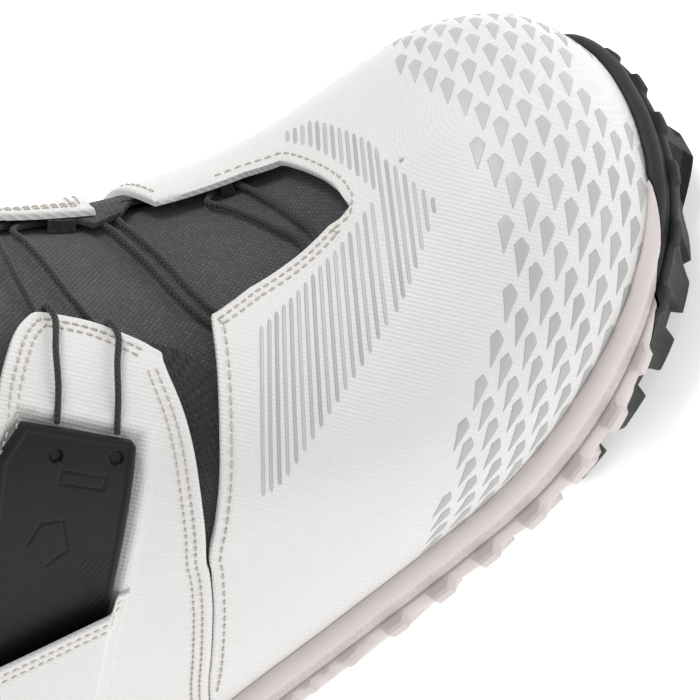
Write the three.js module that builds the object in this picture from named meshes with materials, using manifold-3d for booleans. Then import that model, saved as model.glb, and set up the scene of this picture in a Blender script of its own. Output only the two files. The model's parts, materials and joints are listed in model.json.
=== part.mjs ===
// Right-foot snowboard boot: soft shell with an articulated cuff, two pull-lace zones and a removable liner.
// Millimetres. +X points to the toe, +Y to the inner (medial) side, +Z up, z = 0 is the ground.
import * as THREE from "three";
import { mergeVertices } from "three/addons/utils/BufferGeometryUtils.js";
import Module from "manifold-3d";

const wasm = await Module();
wasm.setup();

// ---- driving dimensions -------------------------------------------------------------------------
const LENGTH = 298; // upper, heel to toe
const WIDTH = 114; // upper, across the ball of the foot
const HEIGHT = 300; // ground to the front of the collar
const GAP = 0.3; // running gap kept between touching pieces
const OVERLAY = 2; // outer synthetic panels
const BACKING = 1.2; // gussets, toe puff, heel counter
const TONGUE = 1.6;
const LINER = 3.8;
const TONGUE_DEPTH = 5.8; // outer skin down to the tongue's face
const LACE_DEPTH = 3.9; // outer skin down to the middle of a lace
const LACE_RADIUS = 0.75;
const FEATHER = 27; // top of the sole's sidewall at the arch
const FEATHER_LIFT = 9; // extra sidewall height at the toe tip
const SOLE_BASE = 4; // underside of the sole between its lugs
const LUG_PITCH = 18;
const LUG_GAP = 5;
const LUG_DEPTH = 17; // the outer lugs, measured across the sole
const LUG_IN = 20; // their middle, in from the feather line
const TOE_SPRING = 10; // lift of the sole's tip off the ground
const MARGIN = 15.3; // lower edge of the upper, tucked inside the sole
const BOARD = 2; // lasting board
const FOOTBED = 4.3;
const FOOTBED_PLAY = 3.5;
const COLLAR_DROP = 12; // the outer collar ends this far below the liner's
const FLEX_ANGLE = 12; // forward flex of the cuff, degrees
const FLEX_MARGIN = 1.5; // left between cuff and lower shell at full flex, degrees
const QUARTER_RAY = 20; // slope of the quarter's top edge seen from the ankle pivot, degrees
const HEEL_RAY = 174;
const PIVOT = new THREE.Vector2(-75, 110); // ankle flex axis, side view
const HANDLE = {
  // its frame's origin to each side; the upper edge leans and its rear corner is cut back
  rear: 20, front: 12.3, top: 31.7, bottom: 44, lean: 0.12, cut: 5.2, cutDown: 9, thickness: 4.2, bevel: 6,
  hole: 1.3, holeIn: 5, cords: { rear: -6.6, front: 7.8 },
};
const SUNK = 1.6; // the lower handle lies this deep in a window of its panel
const PROUD = 0.5; // the upper one lies this far off its panel
const LOOP = { width: 15, thickness: 1.8, reach: 12 };
const POCKET = { wall: 1.2, rim: 4, mouth: -21.8, slant: 0.62, play: 3.6, side: 0.7 };
const TOE_CUT = [[143, -14, 36], [112, 52, 30], [118, -46, 20]]; // where the black toe rubber ends

// ---- the boot's surface -------------------------------------------------------------------------
// Cross-sections fan out from the toe to the collar. Each is a superellipse between a point on the ridge
// (x, z) and one on the keel or back (x, z), with a half width and a centre offset in y.
const DRAWN = { length: 298, width: 114, height: 300, ankle: 140 }; // sizes the sections are drawn at
const SECTIONS = [
  [149, 44, 149, 44, 0, 10],
  [142, 62, 142, 20, 29, 9],
  [125, 76, 125, 12, 45, 6],
  [101, 82, 101, 10, 54, 3],
  [76, 91, 74, 8, 57, 0],
  [54, 109, 44, 8, 56, -1],
  [36, 134, 8, 8, 53, -1],
  [21, 164, -38, 8, 49, 0],
  [9, 185, -92, 8, 47, 0],
  [2, 205, -140, 20, 46, 0],
  [-1, 224, -149, 70, 47, 0],
  [0, 244, -143, 130, 50, 0],
  [4, 267, -131, 190, 53, 0],
  [11, 300, -115, 288, 56, 0],
];
const LAST = SECTIONS.length - 1;
const SQUARENESS = 2.45;
const SOLE_POINTS = 56;
const RINGS = 16;
const SPOKES = 24;
const CROWDING = 1.2; // rings stand closer together towards the toe

const rad = THREE.MathUtils.degToRad;
const alongLength = (x) => (x * LENGTH) / DRAWN.length;
const alongWidth = (y) => (y * WIDTH) / DRAWN.width;
const STRETCH = (HEIGHT - DRAWN.ankle) / (DRAWN.height - DRAWN.ankle);
const alongHeight = (z) => (z <= DRAWN.ankle ? z : DRAWN.ankle + (z - DRAWN.ankle) * STRETCH);

// A cubic through values at whole stations. Beyond the toe they are mirrored with the given sign, so that the
// tip is round; beyond the collar they go straight on.
function through(value, t, sign) {
  const known = (k) => {
    if (k < 0) return sign * value(SECTIONS[1]);
    if (k > LAST) return 2 * value(SECTIONS[LAST]) - value(SECTIONS[LAST - 1]);
    return value(SECTIONS[k]);
  };
  const i = Math.min(Math.floor(t), LAST - 1);
  const f = t - i;
  const [a, b, c, d] = [known(i - 1), known(i), known(i + 1), known(i + 2)];
  const bend = (2 * a - 5 * b + 4 * c - d) * f + (3 * b - a - 3 * c + d) * f * f;
  return (2 * b + (c - a + bend) * f) / 2;
}

function skin(t, degrees) {
  const middle = (a, b) => through((row) => (row[a] + row[b]) / 2, t, 1);
  const half = (a, b) => through((row) => (row[a] - row[b]) / 2, t, -1);
  const power = (v) => Math.sign(v) * Math.abs(v) ** (2 / SQUARENESS);
  const c = power(Math.cos(rad(degrees)));
  const s = power(Math.sin(rad(degrees)));
  return new THREE.Vector3(
    alongLength(middle(0, 2) + half(0, 2) * c),
    alongWidth(through((row) => row[5], t, 1) - through((row) => row[4], t, -1) * s),
    alongHeight(middle(1, 3) + half(1, 3) * c),
  );
}

function outward(t, degrees) {
  if (t < 0.05) return new THREE.Vector3(1, 0, 0);
  const along = skin(Math.min(t + 0.02, LAST), degrees).sub(skin(t - 0.02, degrees));
  const round = skin(t, degrees + 0.5).sub(skin(t, degrees - 0.5));
  return along.cross(round).normalize();
}

const at = (t, degrees, height) => skin(t, degrees).addScaledVector(outward(t, degrees), height);

// ---- solids -------------------------------------------------------------------------------------
function closed(points, triangles) {
  const make = (order) =>
    new wasm.Manifold(
      new wasm.Mesh({
        numProp: 3,
        vertProperties: new Float32Array(points.flatMap((p) => [p.x, p.y, p.z])),
        triVerts: new Uint32Array(triangles.flatMap(([a, b, c]) => (order ? [a, b, c] : [a, c, b]))),
      }),
    );
  const first = make(true);
  return first.volume() > 0 ? first : make(false);
}

function solid(geometry) {
  geometry.deleteAttribute("normal");
  geometry.deleteAttribute("uv");
  const merged = mergeVertices(geometry, 1e-4);
  const p = merged.attributes.position;
  const points = Array.from({ length: p.count }, (_, i) => new THREE.Vector3().fromBufferAttribute(p, i));
  const index = merged.index.array;
  const triangles = Array.from({ length: index.length / 3 }, (_, i) => [...index.slice(3 * i, 3 * i + 3)]);
  return closed(points, triangles.filter(([a, b, c]) => a !== b && b !== c && a !== c));
}

const centroid = (points) =>
  points.reduce((sum, p) => sum.add(p), new THREE.Vector3()).divideScalar(points.length);

// The whole boot, its skin moved out by height(t, degrees); the collar is carried straight up by rise.
function last(height, rise = 5, rings = RINGS, spokes = SPOKES) {
  const points = [at(0, 0, height(0, 0))];
  for (let i = 1; i <= rings + 1; i++)
    for (let j = 0; j < spokes; j++) {
      const t = LAST * (Math.min(i, rings) / rings) ** CROWDING;
      const degrees = (360 * j) / spokes;
      const p = at(t, degrees, height(t, degrees));
      if (i > rings) p.z += rise;
      points.push(p);
    }
  const vertex = (i, j) => (i === 0 ? 0 : 1 + (i - 1) * spokes + (j % spokes));
  const triangles = [];
  for (let j = 0; j < spokes; j++) {
    triangles.push([0, vertex(1, j + 1), vertex(1, j)]);
    for (let i = 1; i <= rings; i++) {
      triangles.push([vertex(i, j), vertex(i, j + 1), vertex(i + 1, j)]);
      triangles.push([vertex(i, j + 1), vertex(i + 1, j + 1), vertex(i + 1, j)]);
    }
  }
  points.push(centroid(points.slice(-spokes)));
  for (let j = 0; j < spokes; j++)
    triangles.push([vertex(rings + 1, j), vertex(rings + 1, j + 1), points.length - 1]);
  return closed(points, triangles);
}
const shell = (outer, inner) => last(() => outer).subtract(last(() => inner, 20));

// A block that fills the side of a plane that its normal points to.
function halfSpace(point, normal) {
  const size = 900;
  const box = new THREE.BoxGeometry(size, size, size).translate(0, 0, size / 2);
  const turn = new THREE.Quaternion().setFromUnitVectors(new THREE.Vector3(0, 0, 1), normal.clone().normalize());
  return solid(box.applyQuaternion(turn).translate(point.x, point.y, point.z));
}

const above = (z) => halfSpace(new THREE.Vector3(0, 0, z), new THREE.Vector3(0, 0, 1));
const below = (z) => halfSpace(new THREE.Vector3(0, 0, z), new THREE.Vector3(0, 0, -1));
const lateralOf = (y) => halfSpace(new THREE.Vector3(0, y, 0), new THREE.Vector3(0, -1, 0));
const medialOf = (y) => halfSpace(new THREE.Vector3(0, y, 0), new THREE.Vector3(0, 1, 0));

// A side-view outline carried across the whole width of the boot.
function sidePrism(outline) {
  const points = outline.map(([x, z]) => new THREE.Vector2(x, z));
  const depth = 3 * WIDTH;
  const prism = new THREE.ExtrudeGeometry(new THREE.Shape(points), { depth, bevelEnabled: false, curveSegments: 6 });
  return solid(prism.rotateX(Math.PI / 2).translate(0, depth / 2, 0));
}

// A block over the skin between two edges, each a function of station that gives degrees round the section.
function skinBlock(from, to, edgeA, edgeB, [rows, columns] = [20, 4], low = -22, high = 12) {
  const points = [];
  for (const height of [low, high])
    for (let i = 0; i <= rows; i++)
      for (let j = 0; j <= columns; j++) {
        const t = from + ((to - from) * i) / rows;
        const degrees = edgeA(t) + ((edgeB(t) - edgeA(t)) * j) / columns;
        const p = at(Math.min(t, LAST), degrees, height);
        if (t > LAST) p.z += (t - LAST) * 60;
        points.push(p);
      }
  return gridSolid(points, rows, columns);
}

// Two layers of (rows + 1) by (columns + 1) points, joined all round their edges.
function gridSolid(points, rows, columns) {
  const v = (layer, i, j) => layer * (rows + 1) * (columns + 1) + i * (columns + 1) + j;
  const triangles = [];
  const quad = (a, b, c, d) => triangles.push([a, b, c], [a, c, d]);
  for (let i = 0; i < rows; i++)
    for (let j = 0; j < columns; j++) {
      quad(v(0, i, j), v(0, i, j + 1), v(0, i + 1, j + 1), v(0, i + 1, j));
      quad(v(1, i, j), v(1, i + 1, j), v(1, i + 1, j + 1), v(1, i, j + 1));
    }
  for (let i = 0; i < rows; i++) {
    quad(v(0, i, 0), v(0, i + 1, 0), v(1, i + 1, 0), v(1, i, 0));
    quad(v(0, i + 1, columns), v(0, i, columns), v(1, i, columns), v(1, i + 1, columns));
  }
  for (let j = 0; j < columns; j++) {
    quad(v(0, 0, j + 1), v(0, 0, j), v(1, 0, j), v(1, 0, j + 1));
    quad(v(0, rows, j), v(0, rows, j + 1), v(1, rows, j + 1), v(1, rows, j));
  }
  return closed(points, triangles);
}

// Straight-line interpolation through [station, degrees] pairs.
const edge = (pairs) => (t) => {
  const k = Math.max(1, pairs.findIndex(([station]) => station >= t));
  const [[t0, a0], [t1, a1]] = [pairs[k - 1], pairs[k]];
  return a0 + ((a1 - a0) * (t - t0)) / (t1 - t0);
};

// ---- finishes -----------------------------------------------------------------------------------
const finish = (color, roughness) => new THREE.MeshStandardMaterial({ color, roughness, metalness: 0 });
const WHITE = finish(0xe9e7e2, 0.5);
const DARK_FABRIC = finish(0x2a2b2e, 0.9);
const RUBBER_WHITE = finish(0xe3d6d1, 0.7);
const RUBBER_BLACK = finish(0x17171a, 0.7);
const PLASTIC_BLACK = finish(0x111113, 0.4);
const CORD_BLACK = finish(0x1b1b1d, 0.85);
const FOAM = finish(0x8d8f92, 0.9);
const LINER_FABRIC = finish(0x3a3c40, 0.95);

const boot = new THREE.Group();
function add(name, shape, material) {
  const made = shape.getMesh();
  const geometry = new THREE.BufferGeometry();
  geometry.setAttribute("position", new THREE.BufferAttribute(new Float32Array(made.vertProperties), 3));
  geometry.setIndex(new THREE.BufferAttribute(new Uint32Array(made.triVerts), 1));
  geometry.computeVertexNormals();
  const mesh = new THREE.Mesh(geometry, material);
  mesh.name = name;
  boot.add(mesh);
}

// Of several bodies left by a cut, the largest.
const largest = (shape) => shape.decompose().sort((a, b) => b.volume() - a.volume())[0];

// ---- outlines in side view ----------------------------------------------------------------------
const FAR = 400;
const VAMP_REAR = [
  [66, 128], [56, 105.5], [48, 102], [42, 98], [34, 92], [24, 84], [12, 74], [-21, 39], [-38, 16], [-38, -9],
].map(([x, z]) => [alongLength(x), z]);
const QUARTER_FRONT = [
  [50, 124], [46, 114], [42, 108], [36, 102], [29, 94], [20, 83], [11.6, 74.2], [-21.4, 39], [-38.4, 16], [-38.4, -9],
].map(([x, z]) => [alongLength(x), z]);
const shifted = (points, dx) => points.map(([x, z]) => [x + dx, z]);
const frontOf = (line) => sidePrism([[FAR, -9], [FAR, FAR], [line[0][0], FAR], ...line]);
const pivot = [alongLength(PIVOT.x), PIVOT.y];
const ray = (degrees, length, lift = 0) => [
  pivot[0] + length * Math.cos(rad(degrees)),
  pivot[1] + lift + length * Math.sin(rad(degrees)),
];
const CUFF_RAY = QUARTER_RAY + FLEX_ANGLE + FLEX_MARGIN;
const CUFF_LIFT = 1;
const overRays = (front, rear, lift) =>
  sidePrism([ray(0, 0, lift), ray(front, FAR, lift), [FAR, FAR], [-FAR, FAR], ray(rear, FAR, lift)]);
const collarPlane = (drop) => {
  const front = skin(LAST, 0);
  const back = skin(LAST, 180);
  const normal = new THREE.Vector3(back.z - front.z, 0, front.x - back.x).negate();
  if (normal.z < 0) normal.negate();
  return halfSpace(new THREE.Vector3(front.x, 0, front.z - drop), normal);
};

// ---- openings in the upper ----------------------------------------------------------------------
const LATERAL_EDGE = edge([
  [3.3, 4], [3.6, 5], [4.45, 11], [4.9, 16], [5.4, 25], [5.7, 18], [6.3, 10.5], [7.2, 15], [8.5, 22], [14, 26],
]);
const MEDIAL_EDGE = edge([
  [3.3, 0], [3.5, -6], [3.75, -19], [4.3, -23], [5.2, -23], [6.2, -28], [7.2, -26], [14, -28],
]);
const throat = skinBlock(3.38, 13.6, LATERAL_EDGE, MEDIAL_EDGE);
const collar = collarPlane(COLLAR_DROP);

// ---- pull handles -------------------------------------------------------------------------------
// A handle lies along the skin; its frame has x across, y out of the pocket and z off the boot.
function handleFrame(t, degrees, toT, toDegrees) {
  const origin = skin(t, degrees);
  const z = outward(t, degrees);
  const y = skin(toT, toDegrees).sub(origin);
  y.addScaledVector(z, -y.dot(z)).normalize();
  const x = y.clone().cross(z);
  return new THREE.Matrix4().makeBasis(x, y, z).setPosition(origin);
}

function framePrism(frame, outline, low = -14, high = 16) {
  const shape = new THREE.Shape(outline.map(([x, y]) => new THREE.Vector2(x, y)));
  const prism = new THREE.ExtrudeGeometry(shape, { depth: high - low, bevelEnabled: false });
  return solid(prism.translate(0, 0, low).applyMatrix4(frame));
}

const topAt = (x) => HANDLE.top - HANDLE.lean * x;

// The handle's outline, grown to the sides, above and below; corner bevels its lower end.
function plate(side, up, down, corner) {
  const [rear, front] = [-HANDLE.rear - side, HANDLE.front + side];
  const bottom = -HANDLE.bottom - down;
  const upper = [[front, topAt(front) + up - 1], [front - 1, topAt(front) + up]];
  const lower = [[rear + corner, bottom], [front - corner, bottom], [front, bottom + corner]];
  const cutBack = [[rear + HANDLE.cut, topAt(rear) + up], [rear, topAt(rear) + up - HANDLE.cutDown]];
  return [...lower, ...upper, ...cutBack, [rear, bottom + corner]];
}

// The pocket's outline; its mouth slants down towards the heel.
function pouch(side, down, above, corner) {
  const [rear, front] = [-HANDLE.rear - side, HANDLE.front + side];
  const bottom = -HANDLE.bottom - down;
  const mouthAt = (x) => POCKET.mouth + POCKET.slant * x + above;
  const lower = [[rear + corner, bottom], [front - corner, bottom], [front, bottom + corner]];
  return [[rear, bottom + corner], ...lower, [front, mouthAt(front)], [rear, mouthAt(rear)]];
}

function handleSet(name, frame, covering, inner) {
  const face = inner + HANDLE.thickness;
  let grip = shell(face, inner).intersect(framePrism(frame, plate(0, 0, 0, HANDLE.bevel)));
  for (const x of Object.values(HANDLE.cords)) {
    const bore = new THREE.CylinderGeometry(HANDLE.hole, HANDLE.hole, 30, 12).rotateX(Math.PI / 2);
    grip = grip.subtract(solid(bore.translate(x, HANDLE.top - HANDLE.holeIn, 0).applyMatrix4(frame)));
  }
  add(name + "_handle", grip, PLASTIC_BLACK);

  const { side, rim } = POCKET;
  const room = face + POCKET.play;
  const body = shell(room + POCKET.wall, GAP).intersect(framePrism(frame, pouch(side + rim, side + rim, 0, 3)));
  const channel = framePrism(frame, pouch(side, side, 20, 2));
  add(name + "_pocket", body.subtract(shell(room, -9).intersect(channel)), WHITE);
  if (inner > 0) return { panel: covering };

  const window = plate(side, rim, side, 4);
  const seat = plate(rim + 2, rim + 5, rim + 2, 6);
  const backing = shell(-OVERLAY - GAP, -OVERLAY - GAP - BACKING).intersect(framePrism(frame, seat));
  add(name + "_handle_seat", largest(backing.subtract(overRays(QUARTER_RAY, HEEL_RAY, -1))), WHITE);
  return { panel: covering.subtract(framePrism(frame, window)), seat: framePrism(frame, seat.map(grown(1))) };
}
const grown = (by) => ([x, y]) => [x + Math.sign(x) * by, y + Math.sign(y) * by];

// ---- laces --------------------------------------------------------------------------------------
const ring = (radius, sides) =>
  Array.from({ length: sides }, (_, i) => {
    const a = (2 * Math.PI * i) / sides;
    return new THREE.Vector2(radius * Math.cos(a), radius * Math.sin(a));
  });

function tube(points, radius, steps) {
  const extrudePath = new THREE.CatmullRomCurve3(points, false, "centripetal");
  const section = new THREE.Shape(ring(radius, 8));
  return solid(new THREE.ExtrudeGeometry(section, { extrudePath, steps, bevelEnabled: false }));
}

// Each row crosses the throat: stations of the two strands at its lateral and at its medial end.
const LOWER_ROWS = [
  { lateral: [6.12, 5.7], medial: [6.2, 6.07] },
  { lateral: [4.76, 4.88], medial: [5.17, 5.3] },
  { lateral: [3.87, 3.75], medial: [4.46, 4.1] },
];
const UPPER_ROWS = [
  { lateral: [12.1, 11.7], medial: [11.72, 11.57] },
  { lateral: [10.2, 10.35], medial: [10.5, 10.65] },
  { lateral: [9.2, 9.05], medial: [8.95, 8.5] },
];
const EDGES = { lateral: (t) => [LATERAL_EDGE(t), 1], medial: (t) => [MEDIAL_EDGE(t), -1] };
const LACE_STEPS = 72;
const PASS = { inner: 4.4, outer: 8.5, start: 0.16 }; // degrees behind the edge, stations of turn

function lacePoint(end, t, behind, height = -LACE_DEPTH) {
  const [degrees, away] = EDGES[end](t);
  return at(t, degrees + away * behind, height);
}

// One strand from its first row to the U-turn at the last; the other runs beside it all the way.
function strand(rows, which) {
  const points = [lacePoint("lateral", rows[0].lateral[which], -2.2, -1.2)];
  rows.forEach((row, k) => {
    const [from, to] = k % 2 ? ["medial", "lateral"] : ["lateral", "medial"];
    const outer = (k % 2 === 0) === (which === 0);
    const [t0, t1] = [row[from][which], row[to][which]];
    for (const part of [0, 0.25, 0.5, 0.75, 1]) {
      const t = t0 + (t1 - t0) * part;
      const degrees = edgeOf(from, t0, -3.5) * (1 - part) + edgeOf(to, t1, -1.5) * part;
      points.push(at(t, degrees, -LACE_DEPTH));
    }
    if (k + 1 === rows.length) return;
    const next = rows[k + 1][to][which];
    const turn = Math.sign(next - t1) * PASS.start;
    const behind = outer ? PASS.outer : PASS.inner;
    for (const t of [t1 + turn, (t1 + next) / 2, next - turn]) points.push(lacePoint(to, t, behind));
  });
  return points;
}

function lace(name, rows) {
  const { medial } = rows.at(-1);
  const bend = lacePoint("medial", (medial[0] + medial[1]) / 2, PASS.inner + 1);
  const route = [...strand(rows, 0), bend, ...strand(rows, 1).reverse()];
  add(name + "_lace", tube(route, LACE_RADIUS, LACE_STEPS), CORD_BLACK);
  rows.forEach((row, k) => {
    const end = k % 2 ? "lateral" : "medial";
    const next = rows[k + 1];
    const high = Math.min(...row[end]);
    const low = next ? Math.max(...next[end]) : high;
    const span = next ? [low + 0.28, high - 0.28] : [high + 0.13, Math.max(...row[end]) - 0.13];
    add(`${name}_lace_guide_${k + 1}`, webbingLoop(end, span), DARK_FABRIC);
  });
}

// A flat loop of webbing behind the edge of the throat, open along the boot for the lace to pass.
function webbingLoop(end, [from, to]) {
  const top = -OVERLAY - GAP;
  const foot = -TONGUE_DEPTH + GAP;
  const block = (grow, near, far) =>
    skinBlock(from - grow, to + grow, (t) => edgeOf(end, t, near), (t) => edgeOf(end, t, far), [2, 2]);
  const wall = 0.25;
  const outer = shell(top, foot).intersect(block(0, 0, 13));
  const bore = shell(top - wall, foot + wall).intersect(block(0.5, 0.8, 12));
  return outer.subtract(bore);
}
const edgeOf = (end, t, behind) => {
  const [degrees, away] = EDGES[end](t);
  return degrees + away * behind;
};

// The station and angle whose skin point has the given x and y in a handle's frame.
function skinUnder(frame, guess, x, y) {
  const back = frame.clone().invert();
  const local = (t, a) => skin(t, a).applyMatrix4(back);
  let [t, a] = guess;
  for (let i = 0; i < 8; i++) {
    const p = local(t, a);
    const dt = local(t + 0.01, a).sub(p).multiplyScalar(100);
    const da = local(t, a + 0.1).sub(p).multiplyScalar(10);
    const det = dt.x * da.y - dt.y * da.x;
    t += ((x - p.x) * da.y - (y - p.y) * da.x) / det;
    a += (dt.x * (y - p.y) - dt.y * (x - p.x)) / det;
  }
  return [t, a];
}

// The two free runs of a lace, over the lateral panel from the edge of the throat to the handle.
function pullCords(name, rows, frame, guess, inner) {
  Object.entries(HANDLE.cords).forEach(([label, x], which) => {
    const above = LACE_RADIUS + 3 * GAP;
    const [t1, a1] = skinUnder(frame, guess, x, topAt(x) + 7);
    const [t2, a2] = skinUnder(frame, guess, x, topAt(x) + 2 * GAP);
    const t0 = rows[0].lateral[which];
    const a0 = edgeOf("lateral", t0, 2.5);
    const start = lacePoint("lateral", t0, -2, 0.7);
    const middle = at((t0 + t1) / 2, (a0 + a1) / 2, above + 0.2);
    const end = at(t2, a2, inner + HANDLE.thickness / 2);
    const points = [start, at(t0, a0, above), middle, at(t1, a1, above), end];
    add(`${name}_pull_cord_${label}`, tube(points, LACE_RADIUS, 16), CORD_BLACK);
  });
}

// A webbing strap through the given side-view points, flat across the boot.
function strap(points, y, width, thickness) {
  const curve = new THREE.CatmullRomCurve3(points, false, "centripetal");
  const rows = 14;
  const layers = [-0.5, 0.5].flatMap((k) =>
    curve.getSpacedPoints(rows).flatMap((p, i) => {
      const along = curve.getTangentAt(i / rows);
      const shift = new THREE.Vector3(along.z, 0, -along.x).normalize().multiplyScalar(k * thickness);
      return [-0.5, 0.5].map((side) => new THREE.Vector3(p.x, y + side * width, p.z).add(shift));
    }),
  );
  return gridSolid(layers, rows, 1);
}

// ---- sole ---------------------------------------------------------------------------------------
const springAt = (x) => TOE_SPRING * Math.max(0, (x - 0.3 * LENGTH) / (0.2 * LENGTH)) ** 2;
const featherAt = (x) => FEATHER + FEATHER_LIFT * Math.max(0, (x - 0.235 * LENGTH) / (0.265 * LENGTH)) ** 2;

// Where the skin meets the top of the sidewall: bisects round the lower half of a section.
function featherPoint(t, side) {
  let [low, high] = [50, 180];
  for (let i = 0; i < 24; i++) {
    const mid = (low + high) / 2;
    const p = skin(t, mid);
    if (p.z > featherAt(p.x)) low = mid;
    else high = mid;
  }
  return skin(t, side * low);
}

function featherLoop() {
  const stations = [];
  for (let t = 0.62; t < 9.12; t += t < 3 ? 0.2 : t > 8.2 ? 0.15 : 0.42) stations.push(t);
  const lateral = stations.map((t) => featherPoint(t, 1));
  const medial = stations.map((t) => featherPoint(t, -1)).reverse();
  const loop = new THREE.CatmullRomCurve3([...lateral, ...medial], true, "centripetal");
  return loop.getSpacedPoints(SOLE_POINTS).slice(0, SOLE_POINTS);
}

const SIDEWALL = [
  // out from the feather line, height above the ground or, where negative, below the feather line
  [-9, -1], [1, 1.2, "top"], [2.8, -0.6], [3.4, -2.8], [2.4, -5], [1.4, -8.2], [2.3, -9], [1.6, -12.5],
  [-13, SOLE_BASE],
];

function soleBody(loop) {
  const count = loop.length;
  const points = [];
  for (const [out, level, top] of SIDEWALL)
    loop.forEach((p, i) => {
      const along = loop[(i + 1) % count].clone().sub(loop[(i + count - 1) % count]);
      const normal = new THREE.Vector2(along.y, -along.x).normalize();
      const fromTop = level < 0 || top;
      const z = fromTop ? p.z + level : level + springAt(p.x);
      points.push(new THREE.Vector3(p.x - normal.x * out, p.y - normal.y * out, z));
    });
  const triangles = [];
  for (let k = 0; k + 1 < SIDEWALL.length; k++)
    for (let i = 0; i < count; i++) {
      const [a, b] = [k * count + i, k * count + ((i + 1) % count)];
      triangles.push([a, b, b + count], [a, b + count, a + count]);
    }
  const centre = (from) => points.push(centroid(points.slice(from, from + count))) - 1;
  const base = (SIDEWALL.length - 1) * count;
  const [roof, floor] = [centre(0), centre(base)];
  for (let i = 0; i < count; i++) {
    triangles.push([(i + 1) % count, i, roof]);
    triangles.push([base + i, base + ((i + 1) % count), floor]);
  }
  return closed(points, triangles);
}

const lug = (x, y, width, depth, turn = 0) => {
  const height = SOLE_BASE + 3;
  const box = new THREE.BoxGeometry(width, depth, height).rotateZ(turn);
  return solid(box.translate(x, y, height / 2 + springAt(x)));
};

function lugs(loop) {
  let all = null;
  const place = (shape) => (all = all ? all.add(shape) : shape);
  const around = new THREE.CatmullRomCurve3(loop, true).getSpacedPoints(Math.round((2.15 * LENGTH) / LUG_PITCH));
  around.slice(1).forEach((p, i) => {
    const along = p.clone().sub(around[i]);
    const normal = new THREE.Vector2(along.y, -along.x).normalize();
    const middle = p.clone().addScaledVector(new THREE.Vector3(normal.x, normal.y, 0), LUG_IN);
    place(lug(middle.x, middle.y, LUG_PITCH - LUG_GAP, LUG_DEPTH, Math.atan2(along.y, along.x)));
  });
  for (let x = -0.4 * LENGTH; x < 0.38 * LENGTH; x += LUG_PITCH) {
    const wide = Math.abs(x) < LUG_PITCH ? 40 : 24;
    place(lug(x + 0.02 * LENGTH, 0, LUG_PITCH - LUG_GAP, wide));
  }
  return all;
}

function sole() {
  const loop = featherLoop();
  const whole = soleBody(loop).add(lugs(loop)).subtract(last(() => GAP, 40));
  const [point, medial, lateral] = TOE_CUT.map(([x, y, z]) => new THREE.Vector3(alongLength(x), alongWidth(y), z));
  const across = medial.sub(point);
  const down = lateral.sub(point);
  const normal = across.cross(down).normalize();
  if (normal.x < 0) normal.negate();
  const toe = halfSpace(point, normal);
  const behind = halfSpace(point.clone().addScaledVector(normal, -GAP), normal);
  add("toe_bumper", largest(whole.intersect(toe)), RUBBER_BLACK);
  add("outsole", largest(whole.subtract(behind)), RUBBER_WHITE);
}

// ---- build --------------------------------------------------------------------------------------
const inside = (height, low, high) => last(() => height).subtract(below(low)).subtract(above(high));
const boardTop = MARGIN + BOARD;
const linerFloor = boardTop + GAP;
const footbedBase = linerFloor + LINER + GAP;

function underfoot() {
  add("midsole", inside(-GAP, 0, MARGIN - GAP), FOAM);
  add("lasting_board", inside(-OVERLAY - GAP, MARGIN, boardTop), FOAM);
  add("footbed", inside(-OVERLAY - BACKING - LINER - 3 * GAP - FOOTBED_PLAY, footbedBase, footbedBase + FOOTBED), FOAM);
}

function upper() {
  const skinShell = shell(0, -OVERLAY).subtract(below(MARGIN)).subtract(throat).subtract(collar);
  const lowerOnly = skinShell.subtract(overRays(QUARTER_RAY, HEEL_RAY, 0));
  const cuffOnly = skinShell.intersect(overRays(CUFF_RAY, HEEL_RAY, CUFF_LIFT));

  add("vamp", largest(lowerOnly.intersect(frontOf(VAMP_REAR))), WHITE);

  const seamX = alongLength(-92);
  const heelSeam = [[seamX + 6, 130], [seamX - 8, 0]];
  const behindSeam = (gap) =>
    sidePrism([[-FAR, -9], [heelSeam[1][0] - gap, -9], [heelSeam[0][0] - gap, 130], [-FAR, 130]]);
  const quarters = lowerOnly.subtract(frontOf(QUARTER_FRONT)).subtract(behindSeam(0));
  const tip = sidePrism([[alongLength(29), 150], [alongLength(33), 138], [alongLength(60), 150]]);
  const lateral = largest(quarters.intersect(lateralOf(0)).subtract(tip));
  add("quarter_medial", largest(quarters.intersect(medialOf(0)).subtract(tip)), WHITE);
  add("heel_cup", largest(lowerOnly.intersect(behindSeam(GAP))), WHITE);

  const spine = 12;
  add("cuff_medial", largest(cuffOnly.intersect(medialOf(0)).subtract(backStrip(spine + GAP))), WHITE);
  const outerCuff = largest(cuffOnly.intersect(lateralOf(0)).subtract(backStrip(spine + GAP)));
  add("backstay", largest(cuffOnly.intersect(backStrip(spine))), DARK_FABRIC);
  return { lateral, outerCuff };
}

function backStrip(half) {
  const box = new THREE.BoxGeometry(200, 2 * half, 2 * HEIGHT).translate(-100 + alongLength(-60), 0, 0);
  return solid(box);
}

const laceRoom = () => skinBlock(2.6, 13.6, () => 29, () => -42);

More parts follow.
